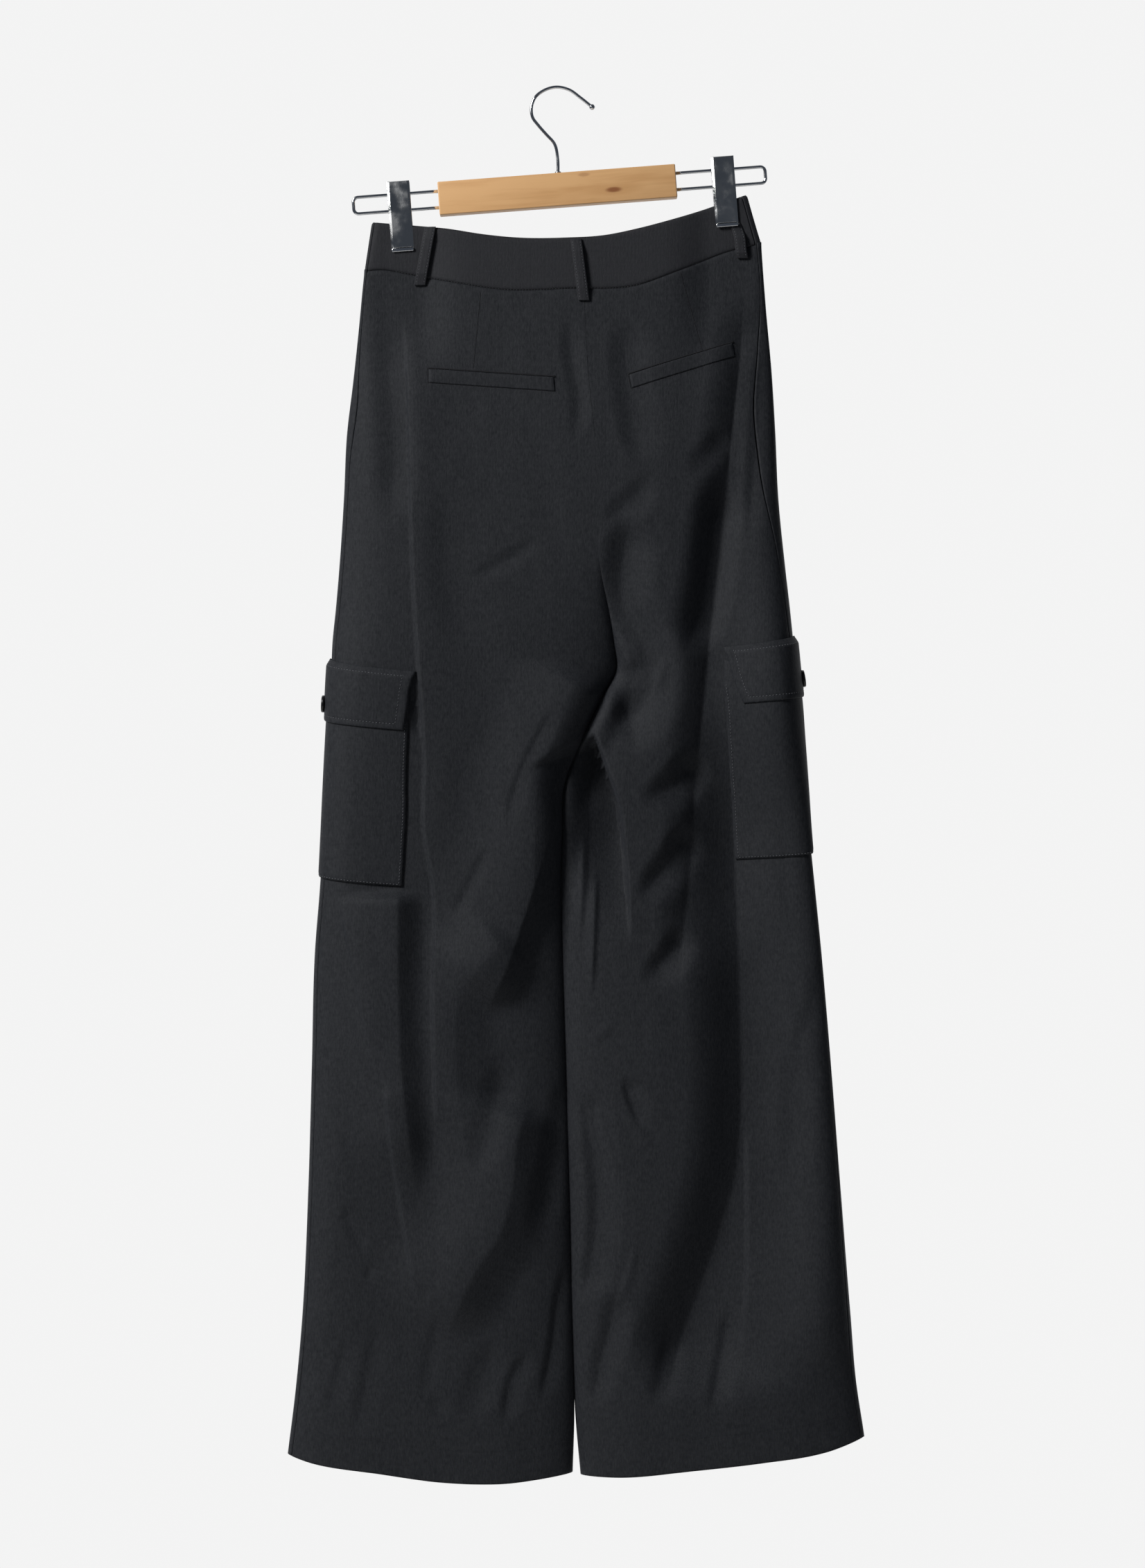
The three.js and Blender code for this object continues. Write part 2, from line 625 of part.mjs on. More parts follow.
{
  const shape = new THREE.Shape();
  const [halfLength, halfHeight, round] = [BLOCK.length / 2, BLOCK.height / 2, BLOCK.round];
  shape.moveTo(-halfLength + round, -halfHeight);
  shape.lineTo(halfLength - round, -halfHeight);
  shape.quadraticCurveTo(halfLength, -halfHeight, halfLength, -halfHeight + round);
  shape.lineTo(halfLength, halfHeight - round);
  shape.quadraticCurveTo(halfLength, halfHeight, halfLength - round, halfHeight);
  shape.lineTo(-halfLength + round, halfHeight);
  shape.quadraticCurveTo(-halfLength, halfHeight, -halfLength, halfHeight - round);
  shape.lineTo(-halfLength, -halfHeight + round);
  shape.quadraticCurveTo(-halfLength, -halfHeight, -halfLength + round, -halfHeight);
  const block = new THREE.ExtrudeGeometry(shape, {
    depth: BLOCK.thickness - 2, bevelEnabled: true, bevelThickness: 1, bevelSize: 1,
    bevelOffset: -1, bevelSegments: 1, curveSegments: 3,
  });
  block.translate(0, 0, -(BLOCK.thickness - 2) / 2);
  block.rotateX(Math.PI / 2);
  add('wood_block', geometryOf(solidOf(hung(block))), COLOURS.wood, 0.55);
}

// Each rail is a wire that leaves the block's end, turns round and comes back into it.
for (const side of [-1, 1]) {
  const end = side < 0 ? RAIL.left : RAIL.right;
  const start = side * (BLOCK.length / 2 + SEAM);
  const radius = RAIL.spread / 2;
  const turn = end - side * (radius + RAIL.wire / 2);
  const line = [[start, 0, radius], [mix(start, turn, 0.5), 0, radius], [turn - side, 0, radius]];
  for (let step = 1; step < 8; step += 1) {
    const angle = Math.PI * step / 8;
    line.push([turn + side * radius * Math.sin(angle), 0, radius * Math.cos(angle)]);
  }
  line.push([turn - side, 0, -radius], [mix(start, turn, 0.5), 0, -radius], [start, 0, -radius]);
  const rail = hung(wireAlong(line, RAIL.wire, 24, 8));
  add(`rail_${sideName(side)}`, geometryOf(solidOf(rail)), COLOURS.chrome, 0.15, 1);
}

// A clip: two sprung plates over the rail with their jaws on the waistband, the bridge that
// rides on the upper wire, and the pivot pin under the lower one.
function clipPlate(along, inner, backwards) {
  const { width, height, centre, sheet } = CLIP;
  const plate = new THREE.Shape();
  const corner = 2.5;
  const [halfWide, halfHigh] = [width / 2, height / 2];
  plate.moveTo(-halfWide + corner, -halfHigh);
  plate.lineTo(halfWide - corner, -halfHigh);
  plate.lineTo(halfWide, -halfHigh + corner);
  plate.lineTo(halfWide, halfHigh - corner);
  plate.lineTo(halfWide - corner, halfHigh);
  plate.lineTo(-halfWide + corner, halfHigh);
  plate.lineTo(-halfWide, halfHigh - corner);
  plate.lineTo(-halfWide, -halfHigh + corner);
  const geometry = new THREE.ExtrudeGeometry(plate, {
    depth: sheet - 0.5, bevelEnabled: true, bevelThickness: 0.25, bevelSize: 0.25,
    bevelOffset: -0.25, bevelSegments: 1,
  });
  geometry.translate(0, 0, -(sheet - 0.5) / 2);
  geometry.rotateX(Math.PI / 2);
  const depth = inner + sheet / 2;
  geometry.translate(along, backwards ? -depth : depth, centre);
  return geometry;
}

for (const [index, along] of CLIP.along.entries()) {
  const name = index === 0 ? 'left' : 'right';
  const front = GRIP_DEPTH + SEAM;
  // The right clip also takes the belt loop under its back plate.
  const back = index === 0 ? front : GRIP_DEPTH + LAID + TRIM + SEAM;
  add(`clip_${name}_outer`, geometryOf(solidOf(hung(clipPlate(along, back, true)))),
    COLOURS.chrome, 0.15, 1);
  add(`clip_${name}_inner`, geometryOf(solidOf(hung(clipPlate(along, front, false)))),
    COLOURS.chrome, 0.15, 1);
  const room = back + front - 2 * SEAM;
  const between = (front - back) / 2;
  const wireTop = RAIL.spread / 2 + RAIL.wire / 2 + SEAM;
  const bridge = new THREE.BoxGeometry(CLIP.width - 5, room, BRIDGE);
  bridge.translate(along, between, wireTop + BRIDGE / 2);
  add(`clip_${name}_bridge`, hung(bridge), COLOURS.chrome, 0.25, 1);
  const pin = new THREE.CylinderGeometry(PIVOT / 2, PIVOT / 2, CLIP.width - 3, 12);
  pin.rotateZ(Math.PI / 2);
  pin.scale(1, room / PIVOT, 1);
  pin.translate(along, between, -wireTop - PIVOT / 2);
  add(`clip_${name}_pivot`, hung(pin), COLOURS.chrome, 0.25, 1);
}

export default object;
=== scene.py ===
import math

import bmesh
import bpy
import numpy as np
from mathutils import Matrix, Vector


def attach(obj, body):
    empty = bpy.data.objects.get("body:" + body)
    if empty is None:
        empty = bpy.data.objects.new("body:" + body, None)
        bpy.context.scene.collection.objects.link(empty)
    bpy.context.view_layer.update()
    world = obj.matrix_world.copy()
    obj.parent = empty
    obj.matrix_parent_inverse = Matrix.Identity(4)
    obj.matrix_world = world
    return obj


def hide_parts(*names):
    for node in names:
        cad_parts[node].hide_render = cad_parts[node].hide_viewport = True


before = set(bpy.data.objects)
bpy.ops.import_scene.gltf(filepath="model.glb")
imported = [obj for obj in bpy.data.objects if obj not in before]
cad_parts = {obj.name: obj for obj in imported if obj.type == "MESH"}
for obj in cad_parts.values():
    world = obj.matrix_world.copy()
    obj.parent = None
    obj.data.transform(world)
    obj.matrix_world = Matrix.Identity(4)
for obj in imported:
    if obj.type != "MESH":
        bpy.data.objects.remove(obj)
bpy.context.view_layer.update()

# ------------------------------------------------------------------ camera
# A portrait lens 3 m in front of the hanging trousers, level with their middle and
# looking straight at them.
MM = 0.001
FRAME_SHAPE = (1652, 2263)       # width to height of the view
FRAME_WIDTH = 1001 * MM          # its width where the trousers hang
CAMERA_AWAY = 3.0
VIEW_CENTRE = (13.9 * MM, -608 * MM)

lens = bpy.data.cameras.new("portrait camera")
camera = bpy.data.objects.new("portrait camera", lens)
bpy.context.scene.collection.objects.link(camera)
camera.location = (VIEW_CENTRE[0], -CAMERA_AWAY, VIEW_CENTRE[1])
camera.rotation_euler = (math.radians(90), 0, 0)
lens.sensor_fit = "VERTICAL"
lens.sensor_height = 24
lens.lens = 24 * CAMERA_AWAY / (FRAME_WIDTH * FRAME_SHAPE[1] / FRAME_SHAPE[0])
lens.clip_end = 50
bpy.context.scene.camera = camera

# ------------------------------------------------------------------ leg and seat panels
# Four panels of matt charcoal plain-weave suiting: two backs and two fronts, sewn at the
# centre seams, side seams and inseams, and hanging as one flattened tube that divides
# into two legs. Sizes are in millimetres; back is towards -Y.
CLOTH = 1.2
FLATNESS = 4.0                   # 2 is a round section, more is flatter with tighter edges
HIP, HEM = -165.0, -1200.0       # nominal heights of the panels' top and bottom edges

# height, left edge, right edge, centre seam then line between the legs, half the space
# there, depth of the back layer, depth of the front layer, one tube (1) or two legs (0)
OUTLINE = np.array([
    [-141, -165, 178, 23, -0.2, 7, 7, 1],
    [-165, -168, 179, 24, -0.2, 9, 9, 1],
    [-215, -173, 183, 26, -0.2, 13, 14, 1],
    [-260, -178, 188, 29, -0.2, 17, 18, 1],
    [-300, -183, 191, 33, -0.2, 20, 21, 1],
    [-360, -186, 194, 34, -0.2, 23, 23, 1],
    [-420, -190, 200, 38, -0.2, 24, 24, 0.92],
    [-455, -193, 204, 45, -0.2, 24, 24, 0.62],
    [-485, -196, 207, 50, -0.2, 24, 24, 0.24],
    [-508, -197, 209, 52, -0.3, 24, 23, 0],
    [-530, -198, 212, 41, -0.3, 24, 23, 0],
    [-570, -200, 215, 22, -0.4, 23, 22, 0],
    [-610, -202, 218, 7, -0.4, 22, 21, 0],
    [-650, -204, 221, 5, -0.4, 21, 20, 0],
    [-700, -207, 226, 4, -0.4, 20, 19, 0],
    [-750, -211, 231, 5, -0.4, 19, 18, 0],
    [-855, -214, 240, 8, -0.4, 19, 18, 0],
    [-960, -217, 248, 11, -0.4, 20, 18, 0],
    [-1085, -223, 257, 14, -0.3, 21, 19, 0],
    [-1150, -229, 262, 16, 0.4, 22, 20, 0],
    [-1200, -235, 269, 17.5, 3.4, 22, 20, 0],
])
LEFT, RIGHT, MIDDLE, SPACE, BACK_DEPTH, FRONT_DEPTH, JOINED = range(1, 8)

# Heights along the width: x, height.
WAIST_TOP = np.array([
    [-161, -117], [-96, -123], [-65, -128], [-35, -131],
    [10, -131], [41, -129], [71, -123], [101, -115], [166, -93],
])
WAIST_SEAM = np.array([
    [-168, -160], [-152, -159], [-128, -163], [-87, -171],
    [-47, -177], [12, -176], [71, -173], [107, -160], [150, -143], [179, -136],
])
LEFT_HEM = np.array([
    [-235, -1193], [-217, -1198], [-156, -1207], [-96, -1215], [-50, -1216], [14, -1209],
])
RIGHT_HEM = np.array([
    [20, -1211], [56, -1211], [116, -1205], [177, -1198], [238, -1188], [268, -1178],
])
# Side seams, measured round the edge onto the back: height, left, right.
SIDE_SEAM = np.array([
    [-141, 2.4, 5], [-214, 2.6, 5], [-245, 4, 11], [-285, 7, 18],
    [-330, 4.4, 16], [-400, 4, 7], [-480, 4, 4], [-1200, 4, 4],
])
GRIPS = (-134, 148)              # x where the clips press the waist flat
GRIP_HALF, GRIP_DEPTH = 13, 2.35     # half the pressed width, and each layer's depth there
GRIP_SPREAD, GRIP_REACH = 22, 110    # how far the press is felt sideways and down

# Folds, a row each: the line that the fold follows as x and height from its top end, then
# its height (a hollow is negative), its width to the left and to the right of that line,
# the fade at its top and at its foot, and how sharp it is on each side from 0 to 1.
BACK_FOLDS = [
    # right side: the lap that hangs from the clip, and the hollow along its edge
    ([(164, -170), (160, -235), (153, -300), (147, -360), (140, -425), (133, -485),
      (127, -545), (121, -605), (117, -675), (111, -730), (105, -790)],
     -12, 30, 80, 70, 90, 0.7, 0),
    ([(181, -215), (176, -280), (171, -345), (165, -410)], -2.5, 10, 20, 40, 60, 0.4, 0),
    # right seat: the deep hollow beside the lap, and the softer ones by the seat seam
    ([(150, -300), (133, -320), (114, -342)], -3, 16, 16, 16, 26, 0, 0),
    ([(147, -335), (137, -380), (131, -425), (123, -465), (110, -500)],
     -9, 27, 30, 40, 40, 0.4, 0),
    ([(58, -190), (60, -240), (66, -290), (77, -338)], -2.6, 18, 30, 40, 40, 0.2, 0),
    ([(84, -340), (66, -360), (38, -382)], -2.6, 14, 22, 20, 26, 0.2, 0),
    ([(66, -375), (58, -410), (58, -455), (76, -490), (82, -525), (66, -552), (38, -558)],
     -6.5, 22, 34, 30, 30, 0.3, 0),
    ([(10, -190), (13, -240), (19, -275), (15, -315)], -1.6, 11, 14, 36, 36, 0.3, 0),
    ([(96, -495), (86, -530)], 1, 8, 10, 14, 16, 0.2, 0.2),
    ([(56, -500), (66, -528), (54, -558)], -6, 20, 26, 16, 18, 0.2, 0),
    # right thigh: its inner rim, and three slanting hollows that run up into the lap
    ([(30, -564), (42, -596), (53, -626), (57, -660), (61, -700), (63, -750)],
     -28, 66, 3, 12, 110, 0, 0),
    ([(122, -575), (108, -600), (72, -626)], -9, 18, 30, 24, 34, 0.3, 0),
    ([(118, -640), (98, -674), (70, -712)], -8, 16, 28, 24, 34, 0.3, 0),
    ([(110, -730), (98, -756), (72, -782)], -6.5, 15, 26, 20, 30, 0.3, 0),
    ([(24, -650), (22, -700), (18, -756)], 1.6, 6, 6, 30, 40, 0.3, 0.3),
    ([(35, -680), (33, -730), (30, -800)], 2.4, 10, 5, 34, 40, 0.2, 0.6),
    ([(50, -816), (28, -833)], 1, 7, 8, 10, 12, 0.2, 0.2),
    ([(58, -862), (64, -884), (77, -912)], -2.6, 6, 20, 12, 24, 0.6, 0),
    # right leg: the wide shade under the pocket, running to the lower middle of the leg
    ([(150, -520), (153, -620), (157, -700), (160, -800), (161, -890), (156, -950),
      (142, -1000), (124, -1050), (108, -1095), (94, -1145)],
     -23, 50, 120, 150, 60, 0.45, 0),
    ([(166, -900), (167, -960), (166, -1050), (161, -1110)], 2.8, 2.5, 44, 50, 70, 0.3, 0),
    ([(210, -820), (208, -900), (202, -970)], -1.8, 18, 24, 50, 60, 0, 0),
    ([(151, -1065), (145, -1100), (133, -1156)], -2.4, 9, 22, 20, 26, 0.5, 0),
    ([(100, -1085), (92, -1120), (84, -1150)], -2.6, 12, 22, 24, 18, 0.2, 0),
    ([(238, -750), (226, -800), (206, -850)], -1.6, 14, 20, 36, 40, 0, 0),
    ([(22, -870), (30, -920), (35, -965), (33, -1010), (24, -1058)], -4, 12, 26, 26, 26, 0.2, 0),
    ([(52, -1048), (47, -1080), (38, -1112), (32, -1152)], -4, 14, 22, 20, 30, 0.4, 0),
    ([(36, -884), (38, -905), (56, -955)], 0.9, 4, 8, 12, 20, 0.3, 0),
    ([(68, -1005), (64, -1030), (52, -1062)], 0.9, 5, 8, 14, 16, 0.3, 0),
    # left hip and seat: the sharp crease that hangs from the clip to below the knee
    ([(-134, -190), (-130, -250), (-127, -345), (-124, -430), (-119, -510), (-114, -590),
      (-115, -645), (-107, -695), (-107, -800), (-104, -912)],
     3.2, 2, 60, 60, 40, 0.4, 0),
    ([(-142, -185), (-146, -250), (-142, -320), (-146, -390)], -4, 22, 26, 50, 50, 0.2, 0),
    ([(-14, -394), (-38, -409), (-80, -432)], -1.3, 8, 14, 20, 28, 0.3, 0),
    ([(-92, -330), (-90, -420), (-84, -510)], -1.6, 26, 40, 60, 60, 0, 0),
    ([(-121, -520), (-119, -572)], -2.4, 9, 4, 16, 18, 0.2, 0),
    # both outer sides hang a little flatter than the middle
    ([(-170, -200), (-188, -450), (-205, -700), (-226, -1120)], 4, 20, 90, 60, 60, 0, 0),
    ([(190, -200), (208, -480), (232, -760), (256, -1130)], 9, 80, 20, 40, 60, 0, 0),
    # left thigh: its edge laps over a deep hollow that runs down from the crotch
    ([(48, -518), (37, -542), (22, -576), (5, -616), (-5, -655), (-19, -698), (-31, -734),
      (-44, -772), (-64, -810)],
     14, 90, 26, 20, 40, 0, 0.7),
    ([(-38, -738), (-62, -762), (-84, -792), (-88, -830), (-84, -880), (-76, -940)],
     6, 56, 38, 16, 60, 0, 0.5),
    ([(0, -540), (-20, -574), (-36, -612), (-44, -650)], -1.2, 6, 16, 24, 30, 0.5, 0),
    ([(-58, -660), (-76, -694), (-93, -728)], -1.1, 6, 14, 20, 24, 0.5, 0),
    ([(-43, -835), (-50, -870), (-60, -905), (-70, -955)], -3, 20, 26, 40, 40, 0.3, 0),
    # left leg: the dark fold under the pocket, the light tongue and the folds below it
    ([(-137, -698), (-137, -780), (-135, -840), (-129, -905), (-121, -965)],
     10.5, 64, 25, 14, 60, 0, 0.5),
    ([(-150, -862), (-141, -940), (-131, -1000), (-121, -1056)], 2.8, 2, 36, 24, 30, 0.4, 0),
    ([(-190, -702), (-176, -770), (-160, -850)], 1.9, 2, 30, 30, 40, 0.4, 0),
    ([(-22, -884), (-33, -912), (-38, -960), (-50, -1000), (-70, -1030), (-86, -1064),
      (-97, -1095)],
     14, 80, 42, 24, 50, 0, 0.5),
    ([(10, -862), (4, -905), (-6, -950), (-22, -1010)], -4, 18, 22, 26, 50, 0.2, 0),
    ([(-52, -1085), (-64, -1120), (-78, -1165)], -3, 22, 26, 30, 34, 0.2, 0),
    ([(9, -1024), (1, -1056), (-4, -1095), (-14, -1146)], -3, 7, 20, 20, 26, 0.6, 0),
    ([(-22, -1100), (-36, -1118), (-47, -1166)], -2.6, 8, 18, 18, 22, 0.6, 0),
    ([(-186, -972), (-176, -1000), (-166, -1018)], -1.2, 8, 16, 16, 18, 0.3, 0),
    ([(-160, -1020), (-165, -1044)], -1, 7, 12, 10, 12, 0.3, 0),
    ([(-182, -1085), (-190, -1122), (-201, -1162)], -1, 7, 16, 24, 26, 0.4, 0),
    ([(-154, -1070), (-166, -1130), (-178, -1184)], -1.2, 9, 20, 30, 36, 0.3, 0),
    ([(-100, -1062), (-110, -1105), (-118, -1150)], -1.1, 9, 16, 24, 26, 0.3, 0),
    ([(-112, -1138), (-94, -1160)], -1.4, 10, 14, 12, 14, 0, 0),
    ([(-194, -845), (-208, -849)], -0.8, 5, 6, 6, 8, 0.2, 0.2),
]
FRONT_FOLDS = [
    ([(-118, -250), (-110, -700), (-102, -1150)], 6, 20, 15, 120, 60, 0.4, 0.4),
    ([(150, -290), (154, -720), (140, -1150)], 6.5, 16, 24, 120, 60, 0.4, 0.4),
    ([(45, -512), (-15, -640), (-70, -770)], 5, 30, 10, 40, 90, 0.3, 0.3),
    ([(55, -515), (90, -650), (120, -790)], 5, 10, 28, 40, 90, 0.3, 0.3),
    ([(-40, -700), (-55, -940), (-66, -1180)], -7, 20, 24, 120, 60, 0, 0),
    ([(72, -720), (80, -950), (86, -1180)], -7, 22, 22, 120, 60, 0, 0),
    ([(-150, -420), (-154, -900)], -5, 18, 18, 120, 120, 0, 0),
    ([(178, -430), (184, -960)], -5, 18, 18, 120, 120, 0, 0),
    ([(-60, -200), (-76, -270), (-92, -340)], 3, 14, 12, 40, 60, 0.2, 0.2),
    ([(96, -195), (106, -260), (120, -330)], 3, 12, 14, 40, 60, 0.2, 0.2),
    ([(-30, -452), (-58, -480), (-86, -500)], -3, 12, 12, 30, 30, 0.1, 0.1),
    ([(92, -452), (112, -482), (134, -505)], -3, 12, 12, 30, 30, 0.1, 0.1),
    ([(-150, -860), (-118, -970), (-90, -1080)], 4, 16, 14, 60, 60, 0.2, 0.2),
    ([(200, -900), (172, -1010), (150, -1120)], 4, 14, 16, 60, 60, 0.2, 0.2),
    ([(10, -980), (-18, -1056), (-50, -1130)], -4, 14, 14, 50, 50, 0, 0),
    ([(40, -960), (56, -1040), (74, -1120)], -4, 14, 14, 50, 50, 0, 0),
]

# Small bumps all over: spacing across and down, then height.
RUMPLES = ((46, 150, 0.55), (23, 62, 0.32), (11, 29, 0.13))
RUMPLE_LEAN = 0.12
LATTICE, LATTICE_START = 64, (17.3, 91.7)   # random heights each way, and where x = z = 0 lies

FOLD_STEP = 12                   # spacing of the points along a fold's line
FOLD_END = 0.4                   # share of a fold's width that is left at its ends
CREST_POWER = 2.4
SEAM_GAP = 0.3                   # space between two sewn pieces
WAIST_REACH, HEM_REACH = 170, 300    # how far the rows feel the slope of waist and hem
SETTLED = 60                     # how far below the waist the folds reach full height
EDGE_FOLDS = 1.25                # folds fade where the depth is under 1 / 1.25 of its full size


def ease(value):
    t = np.clip(value, 0, 1)
    return t * t * (3 - 2 * t)


def curve(table, key, column=1):
    """Smooth curve through a table whose first column is the key."""
    rows = table if table[0, 0] < table[-1, 0] else table[::-1]
    knots, values = rows[:, 0], rows[:, column]
    slopes = np.gradient(values, knots)
    key = np.clip(key, knots[0], knots[-1])
    low = np.clip(np.searchsorted(knots, key, side="right") - 1, 0, len(knots) - 2)
    span = knots[low + 1] - knots[low]
    t = (key - knots[low]) / span
    start, end = values[low], values[low + 1]
    bend_in, bend_out = slopes[low] * span, slopes[low + 1] * span
    return (start * (1 + 2 * t) * (1 - t) ** 2 + bend_in * t * (1 - t) ** 2
            + end * t * t * (3 - 2 * t) + bend_out * t * t * (t - 1))


def smooth_path(points, count):
    """Evenly spaced points along a smooth curve through the given ones."""
    points = np.array(points, float)
    gone = np.concatenate([[0], np.cumsum(np.linalg.norm(np.diff(points, axis=0), axis=1))])
    where = np.linspace(0, gone[-1], count)
    if len(points) == 2:
        return np.stack([np.interp(where, gone, points[:, k]) for k in (0, 1)], -1), where
    return np.stack([curve(np.stack([gone, points[:, k]], -1), where) for k in (0, 1)], -1), where


def as_pairs(x, z):
    return np.broadcast_arrays(np.asarray(x, float), np.asarray(z, float))


def in_layer(x, depth, z, back):
    """Points of the back or the front layer, at a depth from the middle of the trousers."""
    return np.stack([x, np.where(back, -depth, depth), z], axis=-1)


def fold_height(folds, x, z):
    """Height that the folds add at x and height z."""
    x, z = as_pairs(x, z)
    total = np.zeros(x.shape)
    for path, height, before, after, fade_in, fade_out, sharp_before, sharp_after in folds:
        steps = abs(path[0][1] - path[-1][1]) / FOLD_STEP
        line, gone = smooth_path(path, max(4, int(3 + steps)))
        reach = max(before, after)
        low, high = line.min(axis=0) - reach, line.max(axis=0) + reach
        near = (x > low[0]) & (x < high[0]) & (z > low[1]) & (z < high[1])
        if not near.any():
            continue
        px, pz = x[near], z[near]
        closest = np.full(px.shape, 1e9)
        across, along = np.zeros(px.shape), np.zeros(px.shape)
        for k in range(len(line) - 1):
            run = line[k + 1] - line[k]
            size = math.hypot(*run)
            run /= size
            dx, dz = px - line[k, 0], pz - line[k, 1]
            step = np.clip(dx * run[0] + dz * run[1], 0, size)
            away = np.hypot(dx - step * run[0], dz - step * run[1])
            nearer = away < closest
            closest = np.where(nearer, away, closest)
            side = np.sign(dz * run[0] - dx * run[1])
            across = np.where(nearer, away * side, across)
            along = np.where(nearer, gone[k] + step, along)
        ends = ease(along / fade_in) * ease((gone[-1] - along) / fade_out)
        width = np.where(across < 0, before, after)
        width = width * (FOLD_END + (1 - FOLD_END) * np.sqrt(ends))
        share = np.clip(closest / width, 0, 1)
        sharp = np.where(across < 0, sharp_before, sharp_after)
        bell = 0.5 + 0.5 * np.cos(np.pi * share)
        crest = (1 - share) ** CREST_POWER
        total[near] += height * (bell * (1 - sharp) + crest * sharp) * ends
    return total


def pinch(x, drop):
    away = np.min([np.maximum(0, np.abs(x - at) - GRIP_HALF) for at in GRIPS], axis=0)
    return np.exp(-((away / GRIP_SPREAD) ** 2)) * (1 - ease(drop / GRIP_REACH))


def height_at(side, x, row):
    """Rows follow the waist seam at the top and the hem at the bottom."""
    top = (curve(WAIST_SEAM, x) - SEAM_GAP - HIP) * (1 - ease((HIP - row) / WAIST_REACH))
    hem = curve(LEFT_HEM if side < 0 else RIGHT_HEM, x)
    return row + top + (hem - HEM) * (1 - ease((row - HEM) / HEM_REACH))


def soft_noise(x, z, across, down, seed):
    """Smooth random bumps about 1 high, spaced by across and down."""
    lattice = np.random.default_rng(seed).uniform(-1, 1, (LATTICE, LATTICE))
    u, v = x / across + LATTICE_START[0], z / down + LATTICE_START[1]
    i, j = np.floor(u).astype(int), np.floor(v).astype(int)
    s, t = ease(u - i), ease(v - j)
    pick = lambda a, b: lattice[(j + b) % LATTICE, (i + a) % LATTICE]
    top = pick(0, 0) + (pick(1, 0) - pick(0, 0)) * s
    foot = pick(0, 1) + (pick(1, 1) - pick(0, 1)) * s
    return top + (foot - top) * t


def rumple(x, z, back):
    """Slight unevenness of cloth that has been worn and hung."""
    total = 0
    lean = x + RUMPLE_LEAN * z
    for number, (across, down, size) in enumerate(RUMPLES):
        total = total + size * np.where(back, soft_noise(lean, z, across, down, number),
                                        soft_noise(lean, z, across, down, number + 20))
    return total


def layer_depth(x, z, row, share, back, grow, drop):
    joined = curve(OUTLINE, row, JOINED)
    tube = np.sqrt(np.clip(1 - (1 - share) ** FLATNESS, 0, 1))
    leg = np.sqrt(np.clip(1 - np.abs(1 - 2 * share) ** FLATNESS, 0, 1))
    rounding = leg + (tube - leg) * joined
    folds = np.where(back, fold_height(BACK_FOLDS, x, z), fold_height(FRONT_FOLDS, x, z))
    settled = ease(drop / SETTLED) * np.minimum(1, rounding * EDGE_FOLDS)
    fold = (folds + rumple(x, z, back)) * settled
    depth = np.where(back, curve(OUTLINE, row, BACK_DEPTH), curve(OUTLINE, row, FRONT_DEPTH))
    loose = (depth + grow) * rounding + fold
    return loose + (np.minimum(loose, GRIP_DEPTH + grow) - loose) * pinch(x, drop)


def cloth_point(side, row, angle, grow=0.0):
    """A point round one half of the trousers: angle -180 is the front middle, 0 the side
    edge and 180 the back middle, and grow moves it outwards."""
    share = (1 - np.cos(np.radians(angle))) / 2
    edge = curve(OUTLINE, row, LEFT if side < 0 else RIGHT) + side * grow
    joined = curve(OUTLINE, row, JOINED)
    inner = curve(OUTLINE, row, MIDDLE) + side * (
        curve(OUTLINE, row, SPACE) - grow * (1 - joined))
    x = edge + (inner - edge) * share
    z = height_at(side, x, row)
    back = angle >= 0
    depth = layer_depth(x, z, row, share, back, grow, HIP - row)
    return in_layer(x, depth, z, back)


def half_width(side, row):
    edge = curve(OUTLINE, row, LEFT if side < 0 else RIGHT)
    return np.abs(curve(OUTLINE, row, MIDDLE) - edge)


def angle_of(distance, width):
    return np.degrees(np.arccos(1 - 2 * np.clip(distance / width, 0, 1)))


def seam_angle(side, row):
    return angle_of(curve(SIDE_SEAM, row, 1 if side < 0 else 2), half_width(side, row))


def grid_normals(points):
    across = np.gradient(points, axis=1)
    down = np.gradient(points, axis=0)
    normals = np.cross(down, across)
    return normals / np.maximum(np.linalg.norm(normals, axis=-1, keepdims=True), 1e-9)


def make_object(name, points, faces, material, node=None):
    """A mesh piece from points in millimetres; it rides the one body."""
    mesh = bpy.data.meshes.new(name)
    mesh.from_pydata((np.asarray(points).reshape(-1, 3) * MM).tolist(), [], faces)
    mesh.materials.append(material)
    mesh.shade_smooth()
    piece = bpy.data.objects.new(name, mesh)
    bpy.context.scene.collection.objects.link(piece)
    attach(piece, "root")
    if node:
        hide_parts(node)
    return piece


INNER_STEP = 3                   # a wall's inner face takes every third point of its outer one


